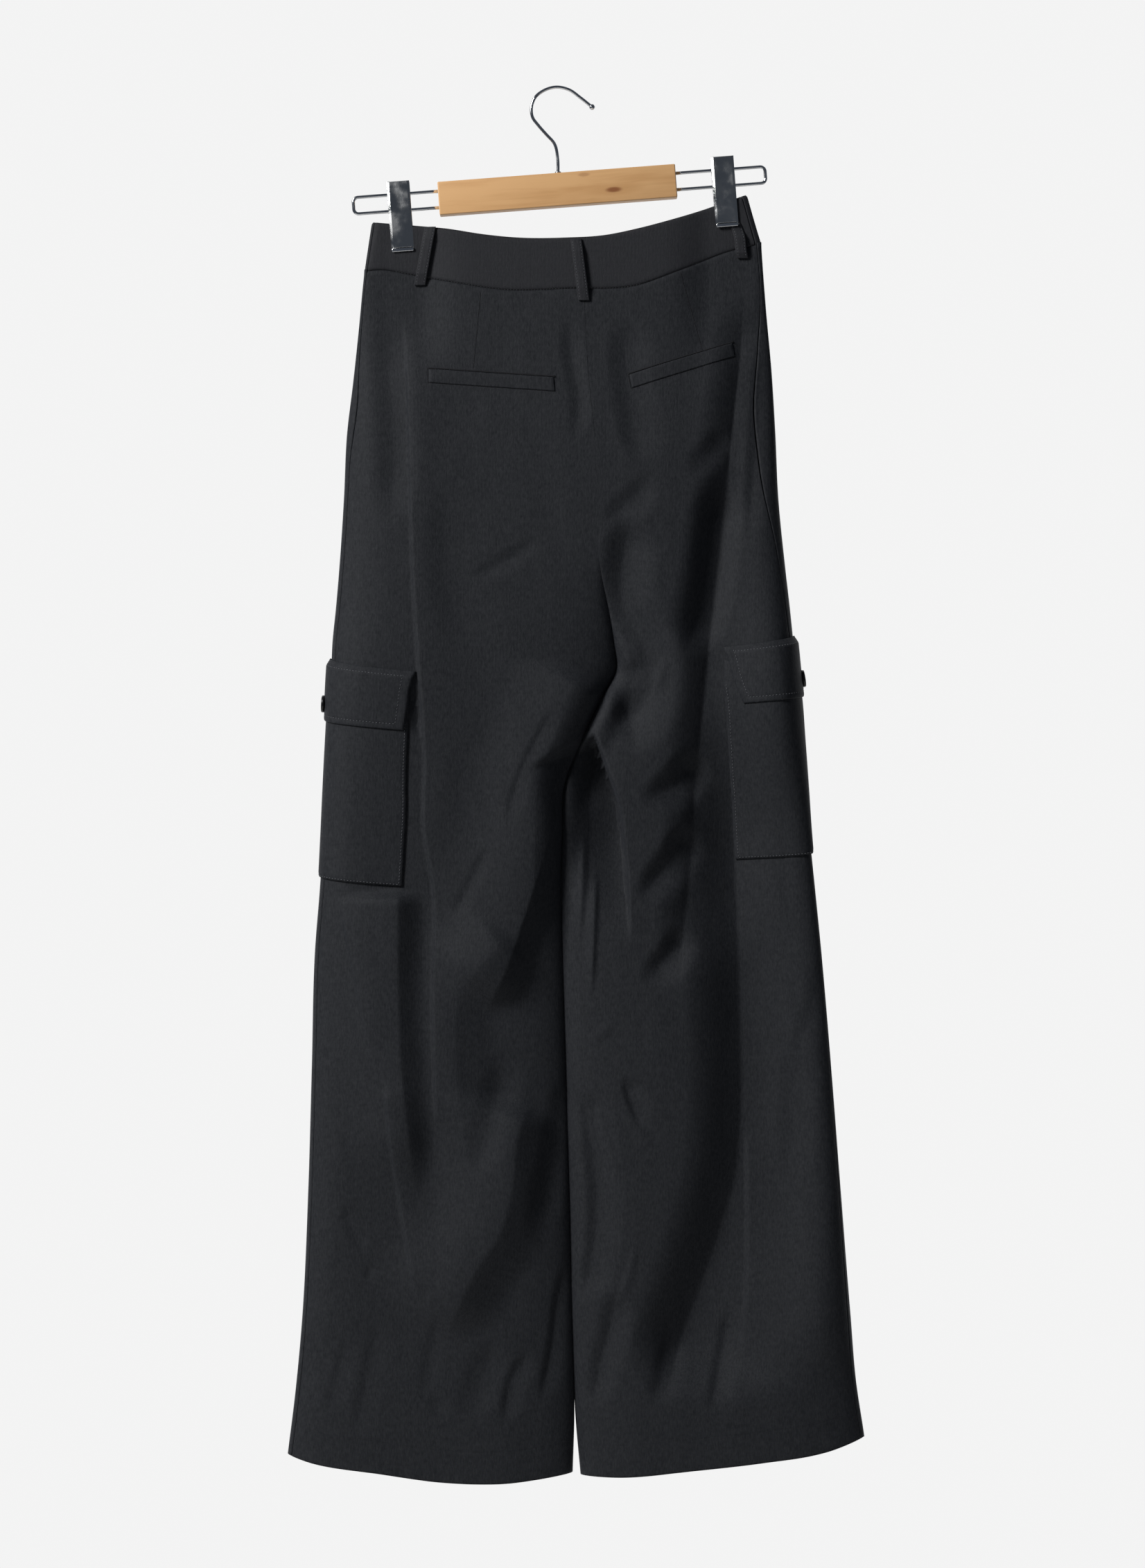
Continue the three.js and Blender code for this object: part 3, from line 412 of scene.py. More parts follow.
def cloth_wall(outer, thickness):
    """Closed thin wall behind a grid of points."""
    keep = [np.unique(np.append(np.arange(0, n, INNER_STEP), n - 1)) for n in outer.shape[:2]]
    inner = (outer - grid_normals(outer) * thickness)[np.ix_(*keep)]
    at = np.arange(outer[..., 0].size).reshape(outer.shape[:2])
    under = at.size + np.arange(inner[..., 0].size).reshape(inner.shape[:2])
    quads = [np.stack([g[:-1, :-1], g[1:, :-1], g[1:, 1:], g[:-1, 1:]], -1).reshape(-1, 4)
             for g in (at, under)]
    faces = quads[0].tolist() + quads[1][:, ::-1].tolist()
    rims = ((at[:, 0], under[:, 0], keep[0], 1), (at[-1], under[-1], keep[1], 1),
            (at[:, -1], under[:, -1], keep[0], -1), (at[0], under[0], keep[1], -1))
    for line, below, stops, turn in rims:
        for k in range(len(stops) - 1):
            rim = line[stops[k]:stops[k + 1] + 1].tolist()
            faces.append((rim[::-1] + [int(below[k]), int(below[k + 1])])[::turn])
    return np.concatenate([outer.reshape(-1, 3), inner.reshape(-1, 3)]), faces


def facing(outer, outward):
    """The grid turned, if need be, so that its normals agree with the outward direction."""
    middle = grid_normals(outer)[outer.shape[0] // 2, outer.shape[1] // 2]
    return outer if np.dot(middle, outward) > 0 else outer[:, ::-1]


def ease_to_ends(count, closer=0.35):
    """Shares from 0 to 1, a little closer together at both ends."""
    t = np.linspace(0, 1, count)
    return t - closer * np.sin(2 * np.pi * t) / (2 * np.pi)


def node_material(name):
    material = bpy.data.materials.new(name)
    material.use_nodes = True
    return material, material.node_tree, material.node_tree.nodes["Principled BSDF"]


def feed(tree, node, inputs):
    """Sets each input of a node to a value, or links an output of another node to it."""
    for name, value in inputs.items():
        if isinstance(value, bpy.types.NodeSocket):
            tree.links.new(value, node.inputs[name])
        else:
            node.inputs[name].default_value = value


def add_node(tree, kind, inputs, **settings):
    node = tree.nodes.new("ShaderNode" + kind)
    for name, value in settings.items():
        setattr(node, name, value)
    feed(tree, node, inputs)
    return node.outputs


def place_on(tree):
    return add_node(tree, "TexCoord", {})["Object"]


def two_tones(tree, factor, darker, lighter, between=(0, 1)):
    """A colour that goes from the darker tone to the lighter one as the factor rises."""
    ramp = tree.nodes.new("ShaderNodeValToRGB")
    for element, position, colour in zip(ramp.color_ramp.elements, between, (darker, lighter)):
        element.position, element.color = position, (*colour, 1)
    tree.links.new(factor, ramp.inputs["Fac"])
    return ramp.outputs["Color"]


def raise_grain(tree, shader, height, strength, distance):
    bump = add_node(tree, "Bump", {"Height": height, "Strength": strength, "Distance": distance})
    feed(tree, shader, {"Normal": bump["Normal"]})


def cloth_material(name, colour, lighter):
    """Plain weave: two crossed fine waves for the yarns, a slow mottle in the dye."""
    material, tree, shader = node_material(name)
    place = place_on(tree)
    mottle = add_node(tree, "TexNoise", {"Vector": place, "Scale": 240, "Detail": 5,
                                         "Roughness": 0.62})["Fac"]
    stretch = add_node(tree, "Mapping", {"Vector": place, "Scale": (1, 1, 0.28)})["Vector"]
    slub = add_node(tree, "TexNoise", {"Vector": stretch, "Scale": 900, "Detail": 2})["Fac"]
    dye = add_node(tree, "Mix", {"Factor": 0.6, "A": mottle, "B": slub},
                   data_type="FLOAT")["Result"]
    warp, weft = (add_node(tree, "TexWave", {"Vector": place, "Scale": 420, "Distortion": 0.6,
                                             "Detail": 1}, bands_direction=way)["Fac"]
                  for way in ("X", "Z"))
    crossing = add_node(tree, "Math", {0: warp, 1: weft}, operation="MAXIMUM")[0]
    grain = add_node(tree, "Math", {0: crossing, 1: 0.5, 2: slub}, operation="MULTIPLY_ADD")[0]
    raise_grain(tree, shader, grain, 0.5, 0.0004)
    feed(tree, shader, {"Base Color": two_tones(tree, dye, colour, lighter, (0.34, 0.66)),
                        "Roughness": 0.62, "Specular IOR Level": 0.16, "Sheen Weight": 0.03,
                        "Sheen Roughness": 0.5, "Sheen Tint": (0.8, 0.86, 1, 1)})
    return material


suiting = cloth_material("charcoal suiting", (0.0125, 0.0137, 0.0166), (0.0275, 0.0290, 0.0326))
SIDES = {-1: "left", 1: "right"}
PANEL_CUT = {  # flat width and length in metres, then area in square metres
    ("back", -1): (0.30, 1.07, 0.262), ("back", 1): (0.30, 1.09, 0.262),
    ("front", -1): (0.28, 1.06, 0.25), ("front", 1): (0.28, 1.08, 0.25),
}
PANEL_GRID = {"back": (205, 395), "front": (100, 260)}      # columns and rows of points
SEAM_TRIM = 0.5                  # degrees that each panel stays short of the side seam
TUCK_UP, TUCK_IN = 2.0, 0.9      # the top edge goes up behind the waistband's foot
TO_BACK, TO_FRONT = (0, -1, 0), (0, 1, 0)


def panel_points(side, layer):
    """A panel's outer face, a row of points for each height."""
    columns, rows = PANEL_GRID[layer]
    row = (HIP + (HEM - HIP) * ease_to_ends(rows, 0.15))[:, None]
    seam = seam_angle(side, row)
    share = np.linspace(0, 1, columns)[None, :]
    if layer == "back":
        return cloth_point(side, row, seam + SEAM_TRIM + (180 - seam - SEAM_TRIM) * share)
    return cloth_point(side, row, -180 + (seam - SEAM_TRIM + 180) * share)


for (layer, side), (width, length, area) in PANEL_CUT.items():
    outward = TO_BACK if layer == "back" else TO_FRONT
    outer = panel_points(side, layer)
    outer[0] += (0, -outward[1] * TUCK_IN, TUCK_UP)
    points, faces = cloth_wall(facing(outer, outward), CLOTH)
    node = f"{layer}_{SIDES[side]}"
    piece = make_object(f"{layer}_panel_{SIDES[side]}", points, faces, suiting, node)

# ------------------------------------------------------------------ hem
# Each leg ends in a turned-up hem, blind-stitched about 28 mm above its edge, which shows
# only as a faint line in the cloth.
HEM_DEPTH = 28


def tube_faces(rings, sides):
    """Faces of a tube whose rings of points follow one another, closed at both ends."""
    faces = []
    for start in range(0, (rings - 1) * sides, sides):
        for k in range(sides):
            a, b = start + k, start + (k + 1) % sides
            faces.append((a, b, b + sides, a + sides))
    last = (rings - 1) * sides
    return faces + [tuple(range(sides))[::-1], tuple(range(last, last + sides))]


def seam_cord(name, points, outward, material, width):
    """A thin raised line, four-sided, for a seam or a turned edge that shows as a line."""
    points = np.asarray(points)
    ahead = np.gradient(points, axis=0)
    up = np.broadcast_to(np.asarray(outward, float), points.shape)
    beside = np.cross(ahead, up)
    beside *= width / 2 / np.linalg.norm(beside, axis=1, keepdims=True)
    lift = up * width / 2
    rings = np.stack([points + beside, points + lift, points - beside, points - lift], 1)
    make_object(name, rings, tube_faces(len(points), 4), material)


for side in SIDES:
    angles = np.linspace(20, 168, 90)       # round the back, short of both seams
    line = cloth_point(side, np.full(angles.shape, HEM + HEM_DEPTH), angles, 0.02)
    seam_cord(f"hem_line_{SIDES[side]}", line, TO_BACK, suiting, 0.3)

# ------------------------------------------------------------------ waistband
# Two plies of the suiting with a stiffening between them, folded at the top and sewn to
# the panels below: one piece round the back and one to each side of the front opening.
BAND, BAND_DEEP, BAND_ROW = 2.0, 47, -141    # thickness, depth, nominal height of its top
BAND_LEFT, BAND_RIGHT = (-161, -167.5), (166, 178.5)     # edge x at the top and the seam
BAND_TRIM = 0.6                  # degrees that each piece stays short of the side seam
waist_cloth = cloth_material("waistband suiting", (0.021, 0.0215, 0.0245), (0.028, 0.0285, 0.032))


def band_point(side, down, angle, grow=0.0):
    share = (1 - np.cos(np.radians(angle))) / 2
    top, foot = BAND_LEFT if side < 0 else BAND_RIGHT
    edge = top + (foot - top) * down + side * grow
    x = edge + (curve(OUTLINE, HIP, MIDDLE) - edge) * share
    high, low = curve(WAIST_TOP, x), curve(WAIST_SEAM, x)
    z = high + (low - high) * down
    back = angle >= 0
    row = BAND_ROW + (HIP - BAND_ROW) * down
    return in_layer(x, layer_depth(x, z, row, share, back, grow, 0.0), z, back)


def band_surface(x, z, back, grow=0.0):
    """Points of the waistband's face over any x and height on it."""
    x, z = as_pairs(x, z)
    middle = curve(OUTLINE, HIP, MIDDLE)
    high, low = curve(WAIST_TOP, x), curve(WAIST_SEAM, x)
    down = np.clip((z - high) / (low - high), 0, 1)
    left = BAND_LEFT[0] + (BAND_LEFT[1] - BAND_LEFT[0]) * down - grow
    right = BAND_RIGHT[0] + (BAND_RIGHT[1] - BAND_RIGHT[0]) * down + grow
    edge = np.where(x < middle, left, right)
    share = np.clip((x - edge) / (middle - edge), 0, 1)
    row = BAND_ROW + (HIP - BAND_ROW) * down
    depth = layer_depth(x, z, row, share, back, grow, 0.0)
    return in_layer(x, depth, z, back)


def band_piece(name, node, spots, outward):
    """A piece of the waistband, a little fuller in the middle than at its two folded edges."""
    down = np.linspace(0, 1, 26)[:, None]
    from_top, from_seam = down * BAND_DEEP, (1 - down) * BAND_DEEP
    grow = 0.45 - 1.0 * np.exp(-from_top / 0.9) - 0.9 * np.exp(-from_seam / 0.9)
    outer = np.concatenate([band_point(side, down, angles[None, :], grow)
                            for side, angles in spots], axis=1)
    points, faces = cloth_wall(facing(outer, outward), BAND)
    piece = make_object(name, points, faces, waist_cloth, node)


def thread_material(name, colour, roughness=0.55):
    """Twisted sewing thread: fine slanting ply along a soft shine."""
    material, tree, shader = node_material(name)
    ply = add_node(tree, "TexWave", {"Vector": place_on(tree), "Scale": 900},
                   bands_direction="DIAGONAL")["Fac"]
    darker = [0.75 * value for value in colour]
    feed(tree, shader, {"Base Color": two_tones(tree, ply, darker, colour),
                        "Roughness": roughness, "Specular IOR Level": 0.4})
    return material


def along_line(points, spacing):
    """Points, and directions there, at an even spacing along a fine polyline."""
    steps = np.linalg.norm(np.diff(points, axis=0), axis=1)
    gone = np.concatenate([[0], np.cumsum(steps)])
    count = max(2, int(gone[-1] / spacing))
    at = (np.arange(count) + 0.5) * gone[-1] / count
    place = lambda where: np.stack([np.interp(where, gone, points[:, k]) for k in range(3)], -1)
    ahead = place(np.minimum(at + 0.4, gone[-1])) - place(np.maximum(at - 0.4, 0))
    return place(at), ahead / np.linalg.norm(ahead, axis=1, keepdims=True)


def stitch_line(name, points, outward, material, pitch, length, width):
    """Lock stitches along a line on the cloth, each a small spindle lying on it."""
    centres, ahead = along_line(points, pitch)
    up = np.broadcast_to(np.asarray(outward, float), centres.shape)
    beside = np.cross(ahead, up)
    beside /= np.linalg.norm(beside, axis=1, keepdims=True)
    half, wide = ahead * length / 2, beside * width / 2
    tall = np.cross(beside, ahead) * width / 2
    corners = np.stack([centres - half, centres + wide, centres + tall, centres - wide,
                        centres - tall, centres + half], 1)
    faces = [face for n in range(0, 6 * len(centres), 6)
             for a, b in ((1, 2), (2, 3), (3, 4), (4, 1))
             for face in ((n, n + b, n + a), (n + 5, n + a, n + b))]
    make_object(name, corners, faces, material)


BAND_SEAM = {side: float(seam_angle(side, np.float64(BAND_ROW))) for side in SIDES}
band_piece("waistband_round_the_back", "waistband_back",
           [(-1, np.linspace(BAND_SEAM[-1] + BAND_TRIM, 180, 110)),
            (1, np.linspace(180, BAND_SEAM[1] + BAND_TRIM, 90)[1:])],
           TO_BACK)
for side, width in ((-1, 0.200), (1, 0.165)):
    band_piece(f"waistband_{SIDES[side]}_front", f"waistband_front_{SIDES[side]}",
               [(side, np.linspace(-177, BAND_SEAM[side] - BAND_TRIM, 90))],
               TO_FRONT)

seam_x = np.linspace(-158, 174, 160)
seam_z = curve(WAIST_SEAM, seam_x) + 0.5
# The thread is far lighter than the cloth: its own colour with painted glints on it.
glints = thread_material("waist seam thread with painted glints", (0.11, 0.11, 0.115), 0.35)
shown = (seam_x > -142) & (seam_x < 74)
stitch_line("waist_seam_stitches", band_surface(seam_x, seam_z, True, 0.12)[shown],
            TO_BACK, glints, pitch=2.6, length=1.0, width=0.45)

# ------------------------------------------------------------------ darts and hip pockets
# A dart takes in each side of the back, and the shade in its fold is painted as one fine
# dark line down to a hip pocket. Each pocket is a slit edged by a 12 mm welt that is sewn
# down at its foot and ends, with painted shade in the slit and along the welt's foot and ends.

# x and height: a dart's top and foot, then a welt's corners, clockwise from its upper left.
DARTS = {"left": ((-66.2, -179.5), (-72.4, -246)), "right": ((108, -161.5), (127, -230))}
WELTS = {
    "left": ((-111.8, -246.7), (-1.8, -254.2), (-1.0, -266.2), (-111, -258.7)),
    "right": ((63, -251.6), (154, -223.0), (156, -234.8), (65.5, -263.2)),
}
WELT_PLY = 0.9
ROW_ROUNDS = 12                  # times that the row at a given height is drawn closer
# near-black strips of painted shade, laid where shade falls in the seams of the darts and hip
# pockets
seam_shade_paint = thread_material("seam shadow thread", (0.008, 0.008, 0.010), 0.9)


def worn_surface(x, z, back, grow=0.0):
    """Points of the worn face over any x and height below the waistband."""
    x, z = as_pairs(x, z)
    side = np.where(x < curve(OUTLINE, np.minimum(z, HIP), MIDDLE), -1, 1)
    found = np.zeros(x.shape + (3,))
    for sign in (-1, 1):
        row = z.copy()
        for _ in range(ROW_ROUNDS):
            row = row + (z - height_at(sign, x, row))
        edge = curve(OUTLINE, row, LEFT if sign < 0 else RIGHT) + sign * grow
        share = np.clip((x - edge) / (curve(OUTLINE, row, MIDDLE) - edge), 0, 1)
        depth = layer_depth(x, z, row, share, back, grow, np.maximum(0, HIP - row))
        found = np.where((side == sign)[..., None], in_layer(x, depth, z, back), found)
    return found


def dressed_surface(x, z, back, grow=0.0):
    """The waistband's face, or the panels' below its seam."""
    x, z = as_pairs(x, z)
    on_band = (z > curve(WAIST_SEAM, x))[..., None]
    return np.where(on_band, band_surface(x, z, back, grow), worn_surface(x, z, back, grow))


def painted_shade_line(name, start, end, grow, width, count=60):
    """A fine dark line of painted shade straight across the back, where one edge of cloth meets
    another.
    """
    t = np.linspace(0, 1, count)
    x = start[0] + (end[0] - start[0]) * t
    z = start[1] + (end[1] - start[1]) * t
    seam_cord(name, dressed_surface(x, z, True, grow), TO_BACK, seam_shade_paint, width)


def welt_face(corners):
    """A grid between four corners, highest along its top edge and low at its ends."""
    across = np.linspace(0, 1, 90)[None, :]
    down = np.linspace(0, 1, 14)[:, None]
    a, b, c, d = (np.array(corner, float) for corner in corners)
    x, z = ((a[k] + (b[k] - a[k]) * across) * (1 - down)
            + (d[k] + (c[k] - d[k]) * across) * down for k in (0, 1))
    edge = np.minimum(1, np.minimum(across, 1 - across) * 60)
    points = dressed_surface(x, z, True)
    points[..., 1] -= 0.25 + (1.15 - 0.75 * down) * edge - 0.35 * np.exp(-down * 9)
    return points


# each dart's fold is shown by a line of painted shade
for name, (top, foot) in DARTS.items():
    painted_shade_line(f"dart_shade_{name}", top, foot, 0.06, 0.42)

for name, corners in WELTS.items():
    points, faces = cloth_wall(facing(welt_face(corners), TO_BACK), WELT_PLY)
    welt = make_object(f"hip_pocket_welt_{name}", points, faces, suiting, f"welt_{name}")
    (x1, z1), (x2, z2), (x3, z3), (x4, z4) = corners
    # painted shadow in the slit above the welt, and painted shade along its sewn foot and ends
    painted_shade_line(f"hip_pocket_slit_shade_{name}", (x1 - 0.5, z1 + 0.7), (x2 + 0.5, z2 + 0.7), 0.5, 1.3)
    painted_shade_line(f"hip_pocket_foot_shade_{name}", (x4, z4 - 0.4), (x3, z3 - 0.4), 0.05, 0.45)
    painted_shade_line(f"hip_pocket_end_shade_{name}", (x1 - 0.4, z1), (x4 - 0.6, z4 - 0.4), 0.1, 0.6, 20)

# ------------------------------------------------------------------ belt loops
# Narrow folded strips, edge-stitched down both sides, turned under and tacked at each end
# so that they stand off the waistband between. Three are behind and two in front.
LOOPS = {   # x at the top and foot, height there, on the back, how much lies flat
    "back_left": ((-110.3, -119.5), (-121.5, -172.5), True, 0.0),
    "back_centre": ((16.9, 23.8), (-132.6, -186.6), True, 0.0),
    "back_right": ((147.5, 162.5), (-101.8, -149.0), True, 0.5),
    "front_left": ((-84, -88), (-126.2, -176), False, 0.0),
    "front_right": ((98, 103), (-116.6, -166), False, 0.0),
}
LOOP_HALF, LOOP_PLY = 5, 1.3
LOOP_LOW, LOOP_BOW = 1.75, 2.6   # height over the cloth at its ends, and the bow between them
LOOP_SWAY = 3.5                  # a loop that lies flat in part also bows sideways
# A mid grey, far lighter than the charcoal cloth: the thread's own colour with painted glints on
# it.
topstitch_with_glints = thread_material("charcoal topstitch thread with painted glints", (0.19, 0.195, 0.21))

for name, ((top_x, foot_x), (top_z, foot_z), is_back, flat_share) in LOOPS.items():
    down = np.linspace(0, 1, 60)[:, None]
    across = np.linspace(-1, 1, 13)[None, :]
    free = np.clip((down - flat_share) / (1 - flat_share), 0, 1)
    stand = LOOP_BOW * np.minimum(1, 1.7 * np.sin(np.pi * free))
    crown = -0.5 * across ** 6 - 0.35 * np.exp(-((np.abs(across) - 0.72) / 0.1) ** 2)
    turned = 0.5 * (np.exp(-((1 - down) / 0.05)) + np.exp(-(down / 0.03)))
    x = top_x + (foot_x - top_x) * down + LOOP_HALF * across
    if flat_share:
        x = x + LOOP_SWAY * np.sin(np.pi * down) ** 2
    z = top_z + (foot_z - top_z) * down + 0 * across
    outer = dressed_surface(x, z, is_back)
    outward = TO_BACK if is_back else TO_FRONT
    outer[..., 1] += outward[1] * (LOOP_LOW + stand + crown + turned)
    points, faces = cloth_wall(facing(outer, outward), LOOP_PLY)
    loop = make_object(f"loop_{name}", points, faces, waist_cloth, f"belt_loop_{name}")
    # edge stitches in the topstitch thread with painted glints
    for edge, column in (("a", 2), ("b", 10)):
        row = outer[2:-2, column] + np.array(outward) * 0.1
        stitch_line(f"loop_{name}_stitches_{edge}", row, outward, topstitch_with_glints, 2.6, 1.7, 0.36)

# ------------------------------------------------------------------ fly and waist button
# The wearer's left front laps over the right and is stitched down in a curve to the foot
# of the fly. One button closes the waistband above it.
FLY_WIDTH, FLY_LENGTH, FLY_CURVE, FLY_PLY = 37, 172, 48, 0.8
fly_down = np.linspace(0, 1, 70)[:, None]
fly_across = np.linspace(0, 1, 22)[None, :]
fly_top = curve(WAIST_SEAM, 6.0) - 2
turn = np.clip((fly_down * FLY_LENGTH - (FLY_LENGTH - FLY_CURVE)) / FLY_CURVE, 0, 1)
fly_width = np.maximum(1.5, FLY_WIDTH * np.sqrt(1 - turn ** 2))
fly_z = fly_top - FLY_LENGTH * fly_down + 0 * fly_across
fly_x = curve(OUTLINE, fly_z, MIDDLE) - 0.6 - fly_width * (1 - fly_across)
fly_face = worn_surface(fly_x, fly_z, False)
fly_edge = np.minimum(fly_across, 0.35 * (1 - fly_across) + 0.05) * fly_width
fly_face[..., 1] += 1.3 - 0.7 * np.exp(-np.maximum(fly_edge, 0) / 1.0)
points, faces = cloth_wall(facing(fly_face, TO_FRONT), FLY_PLY)
fly = make_object("fly_lap", points, faces, suiting, "fly")
fly_stitch = fly_face[:, 1].copy()
fly_stitch[:, 1] += 0.15
# stitches in the topstitch thread with painted glints
stitch_line("fly_stitches", fly_stitch, TO_FRONT, topstitch_with_glints, 2.6, 1.8, 0.4)


def turned_piece(name, profile, spot, axis, material, node, sides=40):
    """A piece turned on a lathe: profile of radius and height, set at a spot along an axis."""
    axis = np.array(axis, float) / np.linalg.norm(axis)
    beside = np.cross(axis, (0, 0, 1) if abs(axis[2]) < 0.9 else (1, 0, 0))
    beside /= np.linalg.norm(beside)
    over = np.cross(axis, beside)
    turns = np.linspace(0, 2 * np.pi, sides, endpoint=False)
    points = []
    for radius, height in profile:
        for angle in turns:
            points.append(np.array(spot) + axis * height
                          + radius * (beside * np.cos(angle) + over * np.sin(angle)))
    make_object(name, points, tube_faces(len(profile), sides), material, node)


def resin_material():
    """Moulded resin, nearly black, with a faint cloud in it."""
    material, tree, shader = node_material("black resin")
    cloud = add_node(tree, "TexNoise", {"Vector": place_on(tree), "Scale": 220})["Fac"]
    tone = two_tones(tree, cloud, (0.004, 0.004, 0.0045), (0.012, 0.012, 0.013))
    feed(tree, shader, {"Base Color": tone, "Roughness": 0.28})
    return material


resin = resin_material()
# A button's section as shares of its radius and height, out to the edge of its raised rim.
RIM_EDGE = 1.06
RIM = ((0.02, 0.0), (1.0, 0.0), (RIM_EDGE, 0.25), (RIM_EDGE, 0.72), (0.98, 0.96), (0.86, 1.0),
       (0.74, 0.86), (0.5, 0.8), (0.02, 0.8))


def button_profile(radius, height):
    return [(share * radius / RIM_EDGE, level * height) for share, level in RIM]


button_spot = band_surface(8.0, -152.0, False)
turned_piece("waist_fastening_button", button_profile(8.5, 3.0), button_spot + (0, 0.5, 0),
             TO_FRONT, resin, "waist_button")

# ------------------------------------------------------------------ cargo pockets
# A flat patch pocket wraps each outer leg seam, half on the back and half on the front. It
# is turned in at its edges and stitched close to them down the sides and foot.
POCKETS = {     # distances onto the back and front at the top and foot, then heights at the
                # back corner, the side edge and the front corner, along the top and the foot
    -1: ((73, 73), (75, 75), (-523, -509, -509), (-697, -688, -690)),
    1: ((63, 67), (83, 80), (-500, -490, -495), (-674, -668, -675)),
}
POCKET_STAND, PATCH, PATCH_PLY = 0.8, 1.4, 1.1
POCKET_HALF = 75                 # from the side edge of the leg to either edge of the pocket
TOPSTITCH = (2.8, 1.9, 0.5)      # pitch, length and width of a stitch


def wrap_point(side, shape, across, down, grow):
    """A point of a wrapped piece: across is -1 at its front edge and 1 at its back edge."""
    on_back, on_front, tops, feet = (np.array(part, float) for part in shape)
    middle_row = tops[1] + (feet[1] - tops[1]) * down
    width = half_width(side, middle_row)
    last = angle_of(on_back[0] + (on_back[1] - on_back[0]) * down, width)
    first = angle_of(on_front[0] + (on_front[1] - on_front[0]) * down, width)
    reach = np.abs(across)
    angle = np.where(across < 0, -first * reach, last * reach)
    top = tops[1] + (np.where(across < 0, tops[2], tops[0]) - tops[1]) * reach
    foot = feet[1] + (np.where(across < 0, feet[2], feet[0]) - feet[1]) * reach
    row = top + (foot - top) * down
    return cloth_point(side, row, angle, grow)


def wrapped_piece(name, node, side, shape, stand, inset, sewn_top):
    """The piece with its turned edges and the groove its stitching pulls into it."""
    length = abs(shape[2][1] - shape[3][1])
    across = (-np.cos(np.linspace(0, np.pi, 96)) * 0.15 + np.linspace(-1, 1, 96) * 0.85)[None, :]
    down = ease_to_ends(64)[:, None]
    from_side = (1 - np.abs(across)) * POCKET_HALF
    from_foot = (1 - down) * length
    from_top = down * length
    nearest = np.minimum(from_side, from_foot)
    soft = 0.6 * np.exp(-nearest / 0.9) + 0.6 * np.exp(-from_top / 0.9)
    groove = 0.22 * np.exp(-((nearest - inset) / 1.1) ** 2)
    full = 0.5 * np.sin(np.pi * np.clip(from_foot / length, 0, 1)) * ease(from_side / 30)
    rest = stand(from_top)
    outer = wrap_point(side, shape, across, down, rest + PATCH - soft - groove + full)
    points, faces = cloth_wall(facing(outer, TO_BACK), PATCH_PLY)
    piece = make_object(name, points, faces, suiting, node)

    # rows of stitches down both sides and along the foot, and along the top of a flap, in
    # the topstitch thread with painted glints
    reach = 1 - inset / POCKET_HALF
    t = np.linspace(0, 1, 160)
    start = 0.06 if sewn_top else 0.12
    end = 1 - inset / length
    rows = [(np.full(160, reach), start + (end - start) * t),
            (reach - 2 * reach * t, np.full(160, end)),
            (np.full(160, -reach), end + (start - end) * t)]
    if sewn_top:
        rows.append((-reach + 2 * reach * t, np.full(160, 5 / length)))
    for number, (u, v) in enumerate(rows):
        lift = stand(v * length) + PATCH + 0.08
        swell = 0.5 * np.sin(np.pi * (1 - v)) * ease((1 - np.abs(u)) * POCKET_HALF / 30)
        line = wrap_point(side, shape, u, v, lift + swell)
        stitches = f"{name}_stitches_{number}"
        if number in (0, 2):
            up = wrap_point(side, shape, u, v, lift + 1.0) - wrap_point(side, shape, u, v, lift)
            up /= np.linalg.norm(up, axis=1, keepdims=True)
            stitch_line(stitches, line, up[len(up) // 2], topstitch_with_glints, *TOPSTITCH)
            continue
        half = len(line) // 2
        for layer, part in (("back", line[:half - 3]), ("front", line[half + 3:])):
            outward = TO_BACK if part[len(part) // 2, 1] < 0 else TO_FRONT
            stitch_line(f"{stitches}_{layer}", part, outward, topstitch_with_glints, *TOPSTITCH)


for side in SIDES:
    wrapped_piece(f"patch_pocket_{SIDES[side]}", f"cargo_pocket_{SIDES[side]}", side,
                  POCKETS[side], lambda gone: POCKET_STAND + 0 * gone, 1.6, False)

# ------------------------------------------------------------------ cargo flaps and buttons
# A stitched flap is sewn on above each cargo pocket and closes over its mouth. One black
# button holds it, on the side seam, and leans with the edge of the leg.
FLAPS = {       # in the same order as POCKETS
    -1: ((76, 70), (77, 75), (-510.5, -498, -500), (-561.4, -552, -554)),
    1: ((63, 51), (85, 84), (-488.7, -478, -484), (-537.8, -531, -538)),
}
FLAP_LIFT = 0.4                  # where it is sewn to the leg, above the pocket
BUTTON_HEIGHT = {-1: -538, 1: -516}
BUTTON_LEAN_OVER = 8             # height over which the edge's lean is measured


def flap_stand(gone):
    return FLAP_LIFT + (2 * POCKET_STAND + PATCH - FLAP_LIFT) * ease(gone / 7)


for side, height in BUTTON_HEIGHT.items():
    wrapped_piece(f"pocket_flap_{SIDES[side]}", f"cargo_flap_{SIDES[side]}", side,
                  FLAPS[side], flap_stand, 5.0, True)
    lift = 2 * POCKET_STAND + 2 * PATCH
    upper, lower = (cloth_point(side, np.float64(row), np.float64(0.0), lift)
                    for row in (height, height - BUTTON_LEAN_OVER))
    lean = side * (lower[0] - upper[0]) / BUTTON_LEAN_OVER
    turned_piece(f"flap_button_{SIDES[side]}", button_profile(7.5, 2.8), (upper[0], 0, height),
                 (side, 0, lean), resin, f"cargo_button_{SIDES[side]}")

# ------------------------------------------------------------------ hook
# Chrome-plated steel wire bent to a wardrobe hook, its tip upset to a small ball, screwed
# into the top of the wood block through a little collar.
HOOK_WIRE, HOOK_BALL = 2.9, 2.6
HOOK_LINE = [   # x and height, from the foot in the block to the tip
    (1.3, -73.9), (1, -62), (-2, -48), (-9, -40), (-16, -32), (-21, -25),
    (-22, -17), (-19, -8), (-10, -1), (0, 1.45), (11, -1), (21, -8), (31, -16),
]


